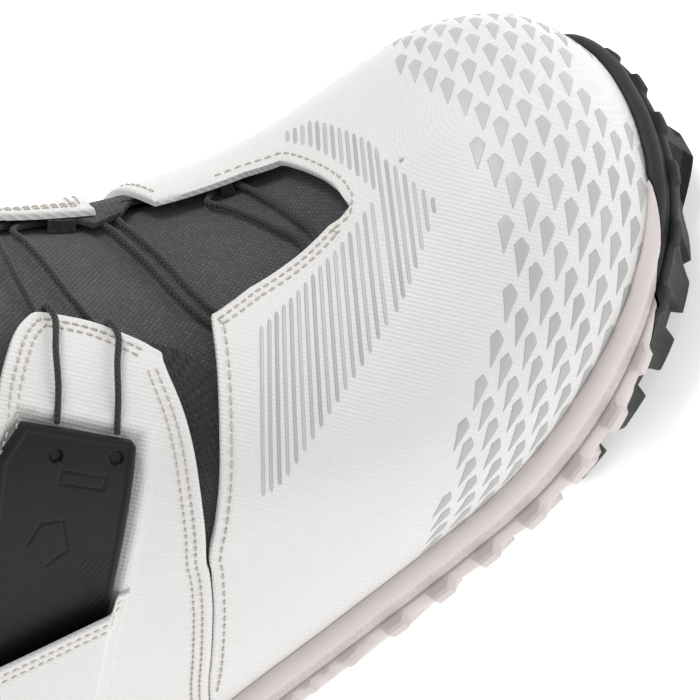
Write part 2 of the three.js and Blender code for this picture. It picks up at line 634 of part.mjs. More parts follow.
function backing(seats) {
  const layer = shell(-OVERLAY - GAP, -OVERLAY - GAP - BACKING).subtract(below(boardTop + GAP));
  const hidden = laceRoom();
  const tuck = 8;
  add("toe_puff", largest(layer.intersect(frontOf([[alongLength(92), FAR], [alongLength(100), -9]]))), DARK_FABRIC);
  const strip = frontOf(shifted(QUARTER_FRONT, -tuck)).subtract(frontOf(shifted(VAMP_REAR, tuck)));
  const vee = layer.intersect(strip).subtract(below(60)).subtract(hidden).subtract(seats.lower);
  add("vamp_gusset_lateral", largest(vee.intersect(lateralOf(0))), DARK_FABRIC);
  add("vamp_gusset_medial", largest(vee.intersect(medialOf(0))), DARK_FABRIC);

  const counter = sidePrism([[-FAR, -9], [alongLength(-62), -9], [alongLength(-76), 94], [-FAR, 100]]);
  add("heel_counter", largest(layer.intersect(counter)), FOAM);

  const lower = overRays(QUARTER_RAY, HEEL_RAY, -tuck);
  const upperEdge = overRays(CUFF_RAY, HEEL_RAY, CUFF_LIFT + tuck);
  const ahead = frontOf(shifted(QUARTER_FRONT, -tuck - 1));
  const band = layer.intersect(lower).subtract(upperEdge).subtract(hidden).subtract(ahead);
  add("ankle_gusset", largest(band.subtract(seats.lower)), DARK_FABRIC);

  const roll = layer.intersect(collarPlane(COLLAR_DROP + 20)).subtract(collarPlane(COLLAR_DROP - 4));
  add("collar_pad", largest(roll.subtract(hidden)), DARK_FABRIC);
}

// The inner boot dips under the tongue and lies against the backing everywhere else.
const smooth = THREE.MathUtils.smoothstep;
const wrapped = (degrees) => Math.abs(((degrees + 180 + 360) % 360) - 180 + 5);
const dip = (t, degrees) => (1 - smooth(wrapped(degrees), 58, 80)) * smooth(t, 1.7, 2.4);
const TONGUE_BACK = TONGUE_DEPTH + TONGUE + GAP;
const BACKING_BACK = OVERLAY + BACKING + 2 * GAP;
const linerSkin = (extra) => (t, degrees) => -(BACKING_BACK + (TONGUE_BACK - BACKING_BACK) * dip(t, degrees)) - extra;

function tongueAndLiner() {
  const tongue = shell(-TONGUE_DEPTH, -TONGUE_DEPTH - TONGUE)
    .intersect(skinBlock(3.02, 13.6, () => 42, () => -48))
    .subtract(collarPlane(COLLAR_DROP - 9));
  add("tongue", largest(tongue), DARK_FABRIC);

  const slot = (gap) => skinBlock(5.4 + 0.02 * gap, 13.6, () => 16 - gap, () => -22 + gap);
  const outer = last(linerSkin(0)).subtract(below(linerFloor));
  const inner = last(linerSkin(LINER), 20, RINGS, SPOKES / 2).subtract(below(linerFloor + LINER));
  const sock = outer.subtract(inner).subtract(collarPlane(2));
  add("liner", largest(sock.subtract(slot(0))), LINER_FABRIC);
  add("liner_tongue", largest(sock.intersect(slot(0.8))), LINER_FABRIC);
}

function loops() {
  const { width, thickness, reach } = LOOP;
  const back = [12.45, 12.5, 12.63, 12.76, 12.82].map((t, i) => at(t, 180, 1.4 + reach * [0, 0.6, 1, 0.6, 0][i]));
  add("heel_loop", strap(back, 0, width, thickness), DARK_FABRIC);
  const face = 1.4 - TONGUE_DEPTH;
  const rise = [0, 0.45, 0.8, 0.45, 0];
  const front = [12.1, 12.2, 12.45, 12.7, 12.8].map((t, i) => at(t, -1, face + reach * rise[i]));
  add("tongue_loop", strap(front, front[0].y, width, thickness), DARK_FABRIC);
}

const parts = upper();
const LOWER = { t: 7.07, degrees: 79, toT: 6.45, toDegrees: 53 };
const UPPER = { t: 11.6, degrees: 88, toT: 12.5, toDegrees: 84 };
const frameOf = ({ t, degrees, toT, toDegrees }) => handleFrame(t, degrees, toT, toDegrees);
const lowerFrame = frameOf(LOWER);
const upperFrame = frameOf(UPPER);
const lowerSet = handleSet("lower", lowerFrame, parts.lateral, -SUNK);
const upperSet = handleSet("upper", upperFrame, parts.outerCuff, PROUD);
add("quarter_lateral", largest(lowerSet.panel), WHITE);
add("cuff_lateral", largest(upperSet.panel), WHITE);
lace("lower", LOWER_ROWS);
lace("upper", UPPER_ROWS);
pullCords("lower", LOWER_ROWS, lowerFrame, [LOWER.toT, LOWER.toDegrees], -SUNK);
pullCords("upper", UPPER_ROWS, upperFrame, [UPPER.toT, UPPER.toDegrees], PROUD);
backing({ lower: lowerSet.seat });
tongueAndLiner();
loops();
underfoot();
sole();

export default boot;
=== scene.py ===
"""Right-foot snowboard boot around its CAD frame. Shapes are worked out in millimetres.

They go into meshes in metres. +X points to the toe, +Y to the medial side, +Z up. A place on the boot is a
station t, which counts cross-sections from the toe tip to the collar, and an angle phi in degrees round the
section: 0 is the ridge, + the lateral side.
"""

import json
import math

import bmesh
import bpy
import numpy as np
from mathutils import Matrix, Vector


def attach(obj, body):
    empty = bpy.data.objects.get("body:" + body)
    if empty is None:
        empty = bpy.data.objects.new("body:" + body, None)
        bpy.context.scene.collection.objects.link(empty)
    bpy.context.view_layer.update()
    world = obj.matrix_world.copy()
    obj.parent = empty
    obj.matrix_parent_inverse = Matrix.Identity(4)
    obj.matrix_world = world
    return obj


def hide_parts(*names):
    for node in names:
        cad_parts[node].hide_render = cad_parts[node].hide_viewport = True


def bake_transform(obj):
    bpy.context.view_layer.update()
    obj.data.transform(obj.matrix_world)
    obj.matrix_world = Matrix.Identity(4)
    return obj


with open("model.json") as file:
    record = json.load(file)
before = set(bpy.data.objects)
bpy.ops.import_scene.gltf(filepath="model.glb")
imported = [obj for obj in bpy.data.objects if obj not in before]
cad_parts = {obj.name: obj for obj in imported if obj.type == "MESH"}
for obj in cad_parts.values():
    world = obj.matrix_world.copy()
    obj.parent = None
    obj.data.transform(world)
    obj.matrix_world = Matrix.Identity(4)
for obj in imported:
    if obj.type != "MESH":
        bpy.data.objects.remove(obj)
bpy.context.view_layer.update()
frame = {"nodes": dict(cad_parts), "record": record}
scene = bpy.context.scene
MM = 0.001

# ---- camera and light ---------------------------------------------------------------------------
RIGHT = np.array([0.678, -0.3106, -0.6662])
UP = np.array([0.6748, 0.6225, 0.3965])
BACK = np.array([0.2916, -0.7184, 0.6316])
EYE = (0.5935, -1.3187, 1.2068)
LENS = 389.3


def make_camera():
    camera = bpy.data.cameras.new("camera")
    camera.lens, camera.sensor_width = LENS, 36
    camera.clip_start, camera.clip_end = 0.05, 20
    holder = bpy.data.objects.new("camera", camera)
    turn = Matrix((RIGHT, UP, BACK)).transposed().to_3x3()
    holder.matrix_world = Matrix.Translation(EYE) @ turn.to_quaternion().to_matrix().to_4x4()
    scene.collection.objects.link(holder)
    scene.camera = holder


def area_light(name, place, target, size, power, tint=(1, 1, 1)):
    light = bpy.data.lights.new(name, "AREA")
    light.shape, light.size, light.energy, light.color = "DISK", size, power, tint
    holder = bpy.data.objects.new(name, light)
    holder.location = place
    holder.rotation_euler = (Vector(target) - Vector(place)).to_track_quat("-Z", "Y").to_euler()
    scene.collection.objects.link(holder)


def light_studio():
    middle = (0.05, 0, 0.08)
    area_light("key", (0.85, 0.45, 1.5), middle, 0.7, 12)
    area_light("fill", (-0.4, -1.5, 0.9), middle, 1.1, 1.8)
    area_light("back", (-0.9, 1.1, 0.9), middle, 1.0, 4)
    world = bpy.data.worlds.new("studio")
    world.use_nodes = True
    world.node_tree.nodes["Background"].inputs["Color"].default_value = (1, 1, 1, 1)
    world.node_tree.nodes["Background"].inputs["Strength"].default_value = 0.56
    scene.world = world
    scene.view_settings.view_transform = "Standard"


make_camera()
light_studio()

# ---- the boot's surface -------------------------------------------------------------------------
# ridge x, ridge z, keel x, keel z, half width, centre y
SECTIONS = np.array([
    (149, 44, 149, 44, 0, 10),
    (142, 62, 142, 20, 29, 9),
    (125, 76, 125, 12, 45, 6),
    (101, 82, 101, 10, 54, 3),
    (76, 91, 74, 8, 57, 0),
    (54, 109, 44, 8, 56, -1),
    (36, 134, 8, 8, 53, -1),
    (21, 164, -38, 8, 49, 0),
    (9, 185, -92, 8, 47, 0),
    (2, 205, -140, 20, 46, 0),
    (-1, 224, -149, 70, 47, 0),
    (0, 244, -143, 130, 50, 0),
    (4, 267, -131, 190, 53, 0),
    (11, 300, -115, 288, 56, 0),
], float)
LAST = len(SECTIONS) - 1
SQUARENESS = 2.45
PIVOT = (-75, 110)
QUARTER_RAY = 20
CUFF_RAY = 33.5
HEEL_RAY = 174
FEATHER = 27
TUCK = 6  # the panels go this far down inside the sole


def column(values, sign, t):
    """A cubic through the rows of one column, mirrored with the given sign beyond the toe tip."""
    v = np.concatenate([[sign * values[1]], values, [2 * values[-1] - values[-2]]])
    i = np.clip(np.floor(t).astype(int), 0, LAST - 1)
    f = t - i
    a, b, c, d = (v[i + k] for k in range(4))
    return (2 * b + (c - a) * f + (2 * a - 5 * b + 4 * c - d) * f**2 + (3 * b - a - 3 * c + d) * f**3) / 2


def rounded(v):
    return np.sign(v) * np.abs(v) ** (2 / SQUARENESS)


def section_line(t):
    """Middle and half of the side-view line from keel to ridge at station t."""
    ridge_x, ridge_z, keel_x, keel_z = SECTIONS.T[:4]
    middle = column((ridge_x + keel_x) / 2, 1, t), column((ridge_z + keel_z) / 2, 1, t)
    half = column((ridge_x - keel_x) / 2, -1, t), column((ridge_z - keel_z) / 2, -1, t)
    return middle, half


def skin(t, phi):
    """A superellipse: x and z run from keel to ridge with the rounded cosine of phi, y with its rounded
    sine.
    """
    t, phi = np.broadcast_arrays(np.asarray(t, float), np.asarray(phi, float))
    (mx, mz), (hx, hz) = section_line(t)
    c, s = rounded(np.cos(np.radians(phi))), rounded(np.sin(np.radians(phi)))
    y = column(SECTIONS[:, 5], 1, t) - column(SECTIONS[:, 4], -1, t) * s
    return np.stack([mx + hx * c, y, mz + hz * c], -1)


def unit(v):
    return v / np.maximum(np.linalg.norm(v, axis=-1, keepdims=True), 1e-9)


def outward(t, phi):
    """The surface's normal: the cross product of its steps along the boot and round it."""
    t, phi = np.broadcast_arrays(np.asarray(t, float), np.asarray(phi, float))
    along = skin(np.minimum(t + 0.02, LAST), phi) - skin(t - 0.02, phi)
    normal = unit(np.cross(along, skin(t, phi + 0.5) - skin(t, phi - 0.5)))
    tip = np.clip((t - 0.03) / 0.05, 0, 1)[..., None]
    return unit(normal * tip + np.array([1.0, 0, 0]) * (1 - tip))


def at(t, phi, height=0.0):
    """The point the given height over the surface; beyond the last station it goes straight up."""
    t = np.asarray(t, float)
    point = skin(np.minimum(t, LAST), phi)
    return point + outward(np.minimum(t, LAST), phi) * np.asarray(height, float)[..., None]


def settle(target, t, phi, turns=5):
    """The station and angle under a point: Newton steps in the tangent plane from a guess."""
    t, phi = t.astype(float).copy(), phi.astype(float).copy()
    for _ in range(turns):
        p = skin(t, phi)
        along = (skin(t + 0.01, phi) - p) * 100
        round_ = (skin(t, phi + 0.2) - skin(t, phi - 0.2)) * 2.5
        off = target - p
        aa, ab, bb = (along * along).sum(-1), (along * round_).sum(-1), (round_ * round_).sum(-1)
        pa, pb = (off * along).sum(-1), (off * round_).sum(-1)
        det = np.maximum(aa * bb - ab * ab, 1e-9)
        t += np.clip((pa * bb - pb * ab) / det, -0.5, 0.5)
        phi += np.clip((pb * aa - pa * ab) / det, -15, 15)
        t = np.clip(t, 0.02, LAST)
    return t, phi


STATIONS = np.linspace(0.02, LAST, 2600)


def station(x, z, side):
    """Station and angle of side-view points: the section whose keel-to-ridge line runs through each."""
    x, z = np.atleast_1d(x).astype(float), np.atleast_1d(z).astype(float)
    (mx, mz), (hx, hz) = section_line(STATIONS)
    dx, dz = x[:, None] - mx, z[:, None] - mz
    miss = dx * hz - dz * hx
    share = (dx * hx + dz * hz) / (hx * hx + hz * hz)
    crossing = (miss[:, 1:] * miss[:, :-1] <= 0) & (np.abs(share[:, 1:]) <= 1.02)
    k = crossing.argmax(1)
    n = np.arange(len(x))
    f = miss[n, k] / (miss[n, k] - miss[n, k + 1] + 1e-12)
    c = np.clip(share[n, k] * (1 - f) + share[n, k + 1] * f, -1, 1)
    phi = np.degrees(np.arccos(np.sign(c) * np.abs(c) ** (SQUARENESS / 2)))
    return np.stack([STATIONS[k] + f * (STATIONS[1] - STATIONS[0]), side * phi], -1)


def spring_at(x):
    return 10 * np.maximum(0, (x - 89.4) / 59.6) ** 2


def feather_at(x):
    return FEATHER + 9 * np.maximum(0, (x - 70) / 79) ** 2


def feather_phi(t, drop=0.0):
    """The angle where the surface is the given drop below the top of the sole, by halving."""
    low, high = np.full(np.shape(t), 50.0), np.full(np.shape(t), 180.0)
    for _ in range(26):
        middle = (low + high) / 2
        p = skin(t, middle)
        over = p[..., 2] > feather_at(p[..., 0]) - drop
        low, high = np.where(over, middle, low), np.where(over, high, middle)
    return low


# ---- curves on the surface ----------------------------------------------------------------------
def run(points, count, height=0.0):
    """A polyline of (t, phi) resampled at equal steps measured on the boot."""
    points = np.asarray(points, float)
    fine = np.concatenate([np.linspace(a, b, 24)[:-1] for a,
                           b in zip(points[:-1], points[1:])] + [points[-1:]])
    step = np.linalg.norm(np.diff(at(fine[:, 0], fine[:, 1], height), axis=0), axis=-1)
    s = np.concatenate([[0], np.cumsum(step)])
    want = np.linspace(0, s[-1], count)
    return np.stack([np.interp(want, s, fine[:, 0]), np.interp(want, s, fine[:, 1])], -1)


def curved(points, rounds=2):
    """Cuts the corners of a polyline, each time a quarter from both sides, and keeps its ends."""
    points = np.asarray(points, float)
    for _ in range(rounds):
        a, b = points[:-1], points[1:]
        cut = np.stack([a * 0.75 + b * 0.25, a * 0.25 + b * 0.75], 1).reshape(-1, points.shape[1])
        points = np.concatenate([points[:1], cut[1:-1], points[-1:]])
    return points


def side_line(points, side, count=60):
    """A side-view polyline of (x, z) laid on one side of the boot."""
    points = np.asarray(points, float)
    fine = np.concatenate([np.linspace(a, b, 16)[:-1] for a,
                           b in zip(points[:-1], points[1:])] + [points[-1:]])
    return run(station(fine[:, 0], fine[:, 1], side), count)


def offset(curve, distance):
    """A curve moved sideways over the surface, to the left of its own direction when seen from outside."""
    p, n = skin(*curve.T), outward(*curve.T)
    left = unit(np.cross(n, np.gradient(p, axis=0)))
    return np.stack(settle(p + left * distance, *curve.T), -1)


def ray(degrees, length, lift=0.0):
    a = math.radians(degrees)
    return (PIVOT[0] + length * math.cos(a), PIVOT[1] + lift + length * math.sin(a))


def patch(front, rear, inner, lower):
    """Coons patch of (t, phi): the blend of the two pairs of opposite edges, less the blend of the corners.
    """
    u = np.linspace(0, 1, len(inner))[:, None, None]
    v = np.linspace(0, 1, len(front))[None, :, None]
    sides = (1 - v) * inner[:, None] + v * lower[:, None] + (1 - u) * front[None] + u * rear[None]
    low = (1 - u) * (1 - v) * inner[0] + u * (1 - v) * inner[-1]
    return sides - low - (1 - u) * v * lower[0] - u * v * lower[-1]


def edge_distance(points):
    """How far each grid point is from the first row, last row, first column and last column, along the grid.
    """
    def travelled(axis):
        step = np.linalg.norm(np.diff(points, axis=axis), axis=-1)
        shape = list(step.shape)
        shape[axis] = 1
        return np.concatenate([np.zeros(shape), np.cumsum(step, axis)], axis)

    rows, columns = travelled(0), travelled(1)
    return rows, rows[-1:] - rows, columns, columns[:, -1:] - columns


def roll_off(distance, radius):
    """How far a rolled edge drops at a distance from the edge: a quarter circle."""
    d = np.clip(distance, 0, radius)
    return radius - np.sqrt(np.maximum(radius**2 - (radius - d) ** 2, 0))


def ease(v):
    v = np.clip(v, 0, 1)
    return v * v * (3 - 2 * v)


def ripple(p, scale, seed=0):
    """A smooth unevenness from -1 to 1: sines of three slanting directions through the point."""
    turns = np.array([(0.9, 0.3, 0.4), (-0.4, 0.8, 0.5), (0.3, -0.6, 0.8)])
    return sum(np.sin(p @ k * scale * (1 + 0.37 * i) + seed + 2 * i) for i, k in enumerate(turns)) / 3


# ---- meshes -------------------------------------------------------------------------------------
def grid_faces(rows, columns, wrap=False):
    """Quads of a grid numbered row by row; wrap joins the last column to the first."""
    i, j = np.meshgrid(np.arange(rows - 1), np.arange(columns if wrap else columns - 1), indexing="ij")
    i, j = i.ravel(), j.ravel()
    k = (j + 1) % columns
    return np.stack([i * columns + j, i * columns + k, (i + 1) * columns + k, (i + 1) * columns + j], -1)


def two_layers(outer, inner, wrap=False):
    """Points and quads of a closed wall: an outer grid, an inner grid, and the rims between them."""
    rows, columns = outer.shape[:2]
    count = rows * columns
    face = grid_faces(rows, columns, wrap)
    i, j = np.arange(rows - 1), np.arange(columns if wrap else columns - 1)
    k = (j + 1) % columns
    end = (rows - 1) * columns
    rims = [
        np.stack([j, j + count, k + count, k], -1),
        np.stack([end + j, end + k, end + k + count, end + j + count], -1),
    ]
    if not wrap:
        a, b = i * columns, (i + 1) * columns
        rims.append(np.stack([a, b, b + count, a + count], -1))
        a, b = a + columns - 1, b + columns - 1
        rims.append(np.stack([a, a + count, b + count, b], -1))
    points = np.concatenate([outer.reshape(-1, 3), inner.reshape(-1, 3)])
    return points, np.concatenate([face, face[:, ::-1] + count, *rims])


def joined(*shapes):
    """Several (points, faces) as one."""
    points, faces, start = [], [], 0
    for p, f in shapes:
        points.append(p)
        faces += (f + start).tolist() if isinstance(f, np.ndarray) else [[k + start for k in q] for q in f]
        start += len(p)
    return np.concatenate(points), faces


def build(name, shape, material, body=None, replaces=(), values=None, smooth=True, angle=50,
          weld=True):
    """One piece: its mesh welded and turned outwards, with named point values, its finish, its body and its
    CAD nodes.
    """
    points, faces = shape
    mesh = bpy.data.meshes.new(name)
    mesh.from_pydata((points * MM).tolist(), [], faces.tolist() if isinstance(faces, np.ndarray) else faces)
    for key, value in (values or {}).items():
        kind = "FLOAT" if value.ndim == 1 else "FLOAT_VECTOR"
        data = mesh.attributes.new(key, kind, "POINT").data
        data.foreach_set("value" if kind == "FLOAT" else "vector", value.astype(np.float32).ravel())
    edit = bmesh.new()
    edit.from_mesh(mesh)
    if weld:
        bmesh.ops.remove_doubles(edit, verts=edit.verts, dist=2e-6)
        bmesh.ops.dissolve_degenerate(edit, edges=edit.edges, dist=1e-7)
    bmesh.ops.recalc_face_normals(edit, faces=edit.faces)
    edit.to_mesh(mesh)
    edit.free()
    mesh.polygons.foreach_set("use_smooth", [smooth] * len(mesh.polygons))
    if smooth:
        mesh.set_sharp_from_angle(angle=math.radians(angle))
    mesh.materials.append(material)
    piece = bpy.data.objects.new(name, mesh)
    scene.collection.objects.link(piece)
    if body:
        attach(piece, body)
    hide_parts(*replaces)
    return piece


def crowded(curve, ends=(True, True), margin=1.2):
    """A resampled curve with four extra points close to each chosen end, so that a rolled edge is round."""
    p = skin(*curve.T)
    s = np.concatenate([[0], np.cumsum(np.linalg.norm(np.diff(p, axis=0), axis=-1))])
    near = np.array([0.04, 0.16, 0.36, 0.62]) * margin
    want = np.concatenate([near if ends[0] else [], s[-1] - near if ends[1] else [], s])
    want = np.unique(np.round(want, 5))
    return np.interp(want, s, np.arange(len(s)))


def refine(grid, rows=(True, True), columns=(True, True)):
    """The same patch with extra rows and columns near its chosen edges."""
    for axis, ends in ((0, rows), (1, columns)):
        middle = grid[:, grid.shape[1] // 2] if axis == 0 else grid[grid.shape[0] // 2]
        where = crowded(middle, ends)
        k = np.minimum(np.floor(where).astype(int), grid.shape[axis] - 2)
        f = (where - k).reshape((-1, 1, 1) if axis == 0 else (1, -1, 1))
        grid = np.take(grid, k, axis) * (1 - f) + np.take(grid, k + 1, axis) * f
    return grid


def smooth_path(points, ups, count):
    """A centripetal cubic through the points, with an up direction carried along, at equal steps."""
    points, ups = np.asarray(points, float), np.asarray(ups, float)
    knots = np.concatenate([[0], np.cumsum(np.linalg.norm(np.diff(points, axis=0), axis=-1) ** 0.5)])
    first, last = 2 * points[0] - points[1], 2 * points[-1] - points[-2]
    p = np.concatenate([[first], points, [last]])
    k = np.concatenate([[-knots[1]], knots, [2 * knots[-1] - knots[-2]]])
    fine = np.linspace(0, knots[-1], 40 * len(points))
    i = np.clip(np.searchsorted(knots, fine, side="right") - 1, 0, len(points) - 2) + 1

    def lerp(a, b, ka, kb):
        return (a * (kb - fine)[:, None] + b * (fine - ka)[:, None]) / (kb - ka)[:, None]

    a1, a2, a3 = (lerp(p[i + m], p[i + m + 1], k[i + m], k[i + m + 1]) for m in (-1, 0, 1))
    b1, b2 = lerp(a1, a2, k[i - 1], k[i + 1]), lerp(a2, a3, k[i], k[i + 2])
    curve = lerp(b1, b2, k[i], k[i + 1])
    up = np.stack([np.interp(fine, knots, ups[:, m]) for m in range(3)], -1)
    s = np.concatenate([[0], np.cumsum(np.linalg.norm(np.diff(curve, axis=0), axis=-1))])
    want = np.linspace(0, s[-1], count)
    even = np.stack([np.interp(want, s, curve[:, m]) for m in range(3)], -1)
    return even, unit(np.stack([np.interp(want, s, up[:, m]) for m in range(3)], -1)), want


def tube(points, ups, radius, sides=12):
    """A round cord: a ring carried along the path, square to its direction, with domed ends.
    Returns the shape and, for each point, how far along and round it lies."""
    along = unit(np.gradient(points, axis=0))
    left = unit(np.cross(ups, along))
    over = np.cross(along, left)
    s = np.concatenate([[0], np.cumsum(np.linalg.norm(np.diff(points, axis=0), axis=-1))])
    r = np.full(len(points), float(radius))
    r[[0, -1]] *= 0.45
    a = 2 * np.pi * np.arange(sides) / sides
    ring = left[:, None] * np.cos(a)[None, :, None] + over[:, None] * np.sin(a)[None, :, None]
    p = points[:, None] + ring * r[:, None, None]
    count = p.shape[0] * sides
    faces = grid_faces(len(points), sides, True).tolist()
    faces += [list(range(sides))[::-1], list(range(count - sides, count))]
    lay = np.stack([np.repeat(s, sides), np.tile(np.cos(a), len(points)), np.tile(np.sin(a), len(points))],
                   -1)
    return (p.reshape(-1, 3), faces), lay


# ---- materials ----------------------------------------------------------------------------------
def put(tree, socket, value):
    """Links a socket, or sets a plain value."""
    if isinstance(value, bpy.types.NodeSocket):
        tree.links.new(value, socket)
    else:
        socket.default_value = value


def calc(tree, operation, *values):
    made = tree.nodes.new("ShaderNodeMath")
    made.operation = operation
    for socket, value in zip(made.inputs, values):
        put(tree, socket, value)
    return made.outputs[0]


def vector(tree, operation, *values):
    made = tree.nodes.new("ShaderNodeVectorMath")
    made.operation = operation
    for socket, value in zip(made.inputs, values):
        put(tree, socket, value)
    return made.outputs["Value" if operation == "DOT_PRODUCT" else "Vector"]


def blend_colour(tree, factor, a, b):
    made = tree.nodes.new("ShaderNodeMix")
    made.data_type, made.blend_type = "RGBA", "MIX"
    put(tree, made.inputs[0], factor)
    put(tree, made.inputs[6], a)
    put(tree, made.inputs[7], b)
    return made.outputs[2]


def noise(tree, place, scale, detail=3.0, roughness=0.55):
    made = tree.nodes.new("ShaderNodeTexNoise")
    put(tree, made.inputs["Vector"], place)
    put(tree, made.inputs["Scale"], scale)
    made.inputs["Detail"].default_value, made.inputs["Roughness"].default_value = detail, roughness
    return made.outputs["Fac"]


def between(tree, value, low, high, out_low=0.0, out_high=1.0):
    made = tree.nodes.new("ShaderNodeMapRange")
    made.interpolation_type = "SMOOTHSTEP"
    for socket, v in zip(made.inputs, (value, low, high, out_low, out_high)):
        put(tree, socket, v)
    return made.outputs[0]


def group(name, inputs, outputs):
    """An empty node group with named inputs (name, kind, value) and outputs (name, kind)."""
    tree = bpy.data.node_groups.new(name, "ShaderNodeTree")
    for label, kind, value in inputs:
        socket = tree.interface.new_socket(label, in_out="INPUT", socket_type="NodeSocket" + kind)
        socket.default_value = value
    for label, kind in outputs:
        tree.interface.new_socket(label, in_out="OUTPUT", socket_type="NodeSocket" + kind)
    return tree, tree.nodes.new("NodeGroupInput").outputs, tree.nodes.new("NodeGroupOutput").inputs


def emboss_group():
    """Fine pressed lines, the same on both sides of the boot: sines of the distance along a slanting direction, with
    fainter lines across, over a leathery noise."""
    tree, given, out = group(
        "pressed_lines",
        [("Place", "Vector", (0, 0, 0)), ("Pitch", "Float", 1.0), ("Across", "Float", 0.3)],
        [("Height", "Float"), ("Mottle", "Float")],
    )
    parts = tree.nodes.new("ShaderNodeSeparateXYZ")
    put(tree, parts.inputs[0], vector(tree, "MULTIPLY", given["Place"], (1000, 1000, 1000)))
    x, y, z = parts.outputs
    side = calc(tree, "SQRT", calc(tree, "ADD", calc(tree, "MULTIPLY", y, y), 60.0))
    folded = tree.nodes.new("ShaderNodeCombineXYZ")
    for socket, value in zip(folded.inputs, (x, calc(tree, "MULTIPLY", side, -1.0), z)):
        put(tree, socket, value)
    waves = []
    for direction in ((0.81, 0.537, 0.237), (0.508, -0.443, -0.738)):
        turn = calc(tree, "DIVIDE", vector(tree, "DOT_PRODUCT", folded.outputs[0], direction), given["Pitch"])
        wave = calc(tree, "SINE", calc(tree, "MULTIPLY", turn, 2 * math.pi))
        waves.append(calc(tree, "POWER", calc(tree, "MULTIPLY_ADD", wave, 0.5, 0.5), 2.0))
    lines = calc(tree, "ADD", waves[0], calc(tree, "MULTIPLY", waves[1], given["Across"]))
    grain = noise(tree, given["Place"], 1700.0, 4.0)
    put(tree, out["Height"], calc(tree, "ADD", lines, calc(tree, "MULTIPLY", grain, 0.8)))
    put(tree, out["Mottle"], noise(tree, given["Place"], 45.0, 3.0))
    return tree


def weave_group():
    """A basket weave: two sets of threads, each a rounded sine across, that go over one another in a
    chequer.
    """
    tree, given, out = group(
        "weave",
        [("Warp", "Float", 0.0), ("Weft", "Float", 0.0), ("Pitch", "Float", 1.0),
         ("Place", "Vector", (0, 0, 0))],
        [("Height", "Float"), ("Over", "Float"), ("Thread", "Float")],
    )
    turns = [calc(tree, "DIVIDE", given[k], given["Pitch"]) for k in ("Warp", "Weft")]
    sines = [calc(tree, "SINE", calc(tree, "MULTIPLY", turn, math.pi)) for turn in turns]
    over = between(tree, calc(tree, "MULTIPLY", *sines), -0.12, 0.12)
    rounds = [calc(tree, "POWER", calc(tree, "ABSOLUTE", s), 0.6) for s in sines]
    warp = calc(tree, "MULTIPLY", rounds[0], over)
    weft = calc(tree, "MULTIPLY", rounds[1], calc(tree, "SUBTRACT", 1.0, over))
    fibre = noise(tree, given["Place"], 5200.0, 2.0)
    height = calc(tree, "ADD", calc(tree, "ADD", warp, weft), calc(tree, "MULTIPLY", fibre, 0.35))
    put(tree, out["Height"], height)
    put(tree, out["Over"], over)
    cell = tree.nodes.new("ShaderNodeTexWhiteNoise")
    cell.noise_dimensions = "2D"
    where = tree.nodes.new("ShaderNodeCombineXYZ")
    put(tree, where.inputs[0], calc(tree, "FLOOR", turns[0]))
    put(tree, where.inputs[1], calc(tree, "FLOOR", turns[1]))
    put(tree, cell.inputs["Vector"], where.outputs[0])
    put(tree, out["Thread"], cell.outputs["Value"])
    return tree


def wear_and_shade_group():
    """Edges and painted shade in hollows: the pointiness of the mesh, softened by noise, and a faint dust all over.
    """
    tree, given, out = group(
        "wear_and_shade",
        [("Place", "Vector", (0, 0, 0)), ("Amount", "Float", 0.5)],
        [("Edge", "Float"), ("Painted_Hollow_Shade", "Float"), ("Dust", "Float")],
    )
    point = tree.nodes.new("ShaderNodeNewGeometry").outputs["Pointiness"]
    spots = noise(tree, given["Place"], 160.0, 4.0)
    edge = between(tree, point, 0.51, 0.58)
    put(tree, out["Edge"], calc(tree, "MULTIPLY", calc(tree, "MULTIPLY", edge, spots), given["Amount"]))
    # Painted shade: concave places, where the pointiness is low, darken the colour.
    put(tree, out["Painted_Hollow_Shade"], calc(tree, "MULTIPLY", between(tree, point, 0.49, 0.42), given["Amount"]))
    dust = between(tree, noise(tree, given["Place"], 28.0, 6.0), 0.45, 0.75)
    put(tree, out["Dust"], calc(tree, "MULTIPLY", dust, given["Amount"]))
    return tree


EMBOSS, WEAVE, WEAR_AND_SHADE = emboss_group(), weave_group(), wear_and_shade_group()


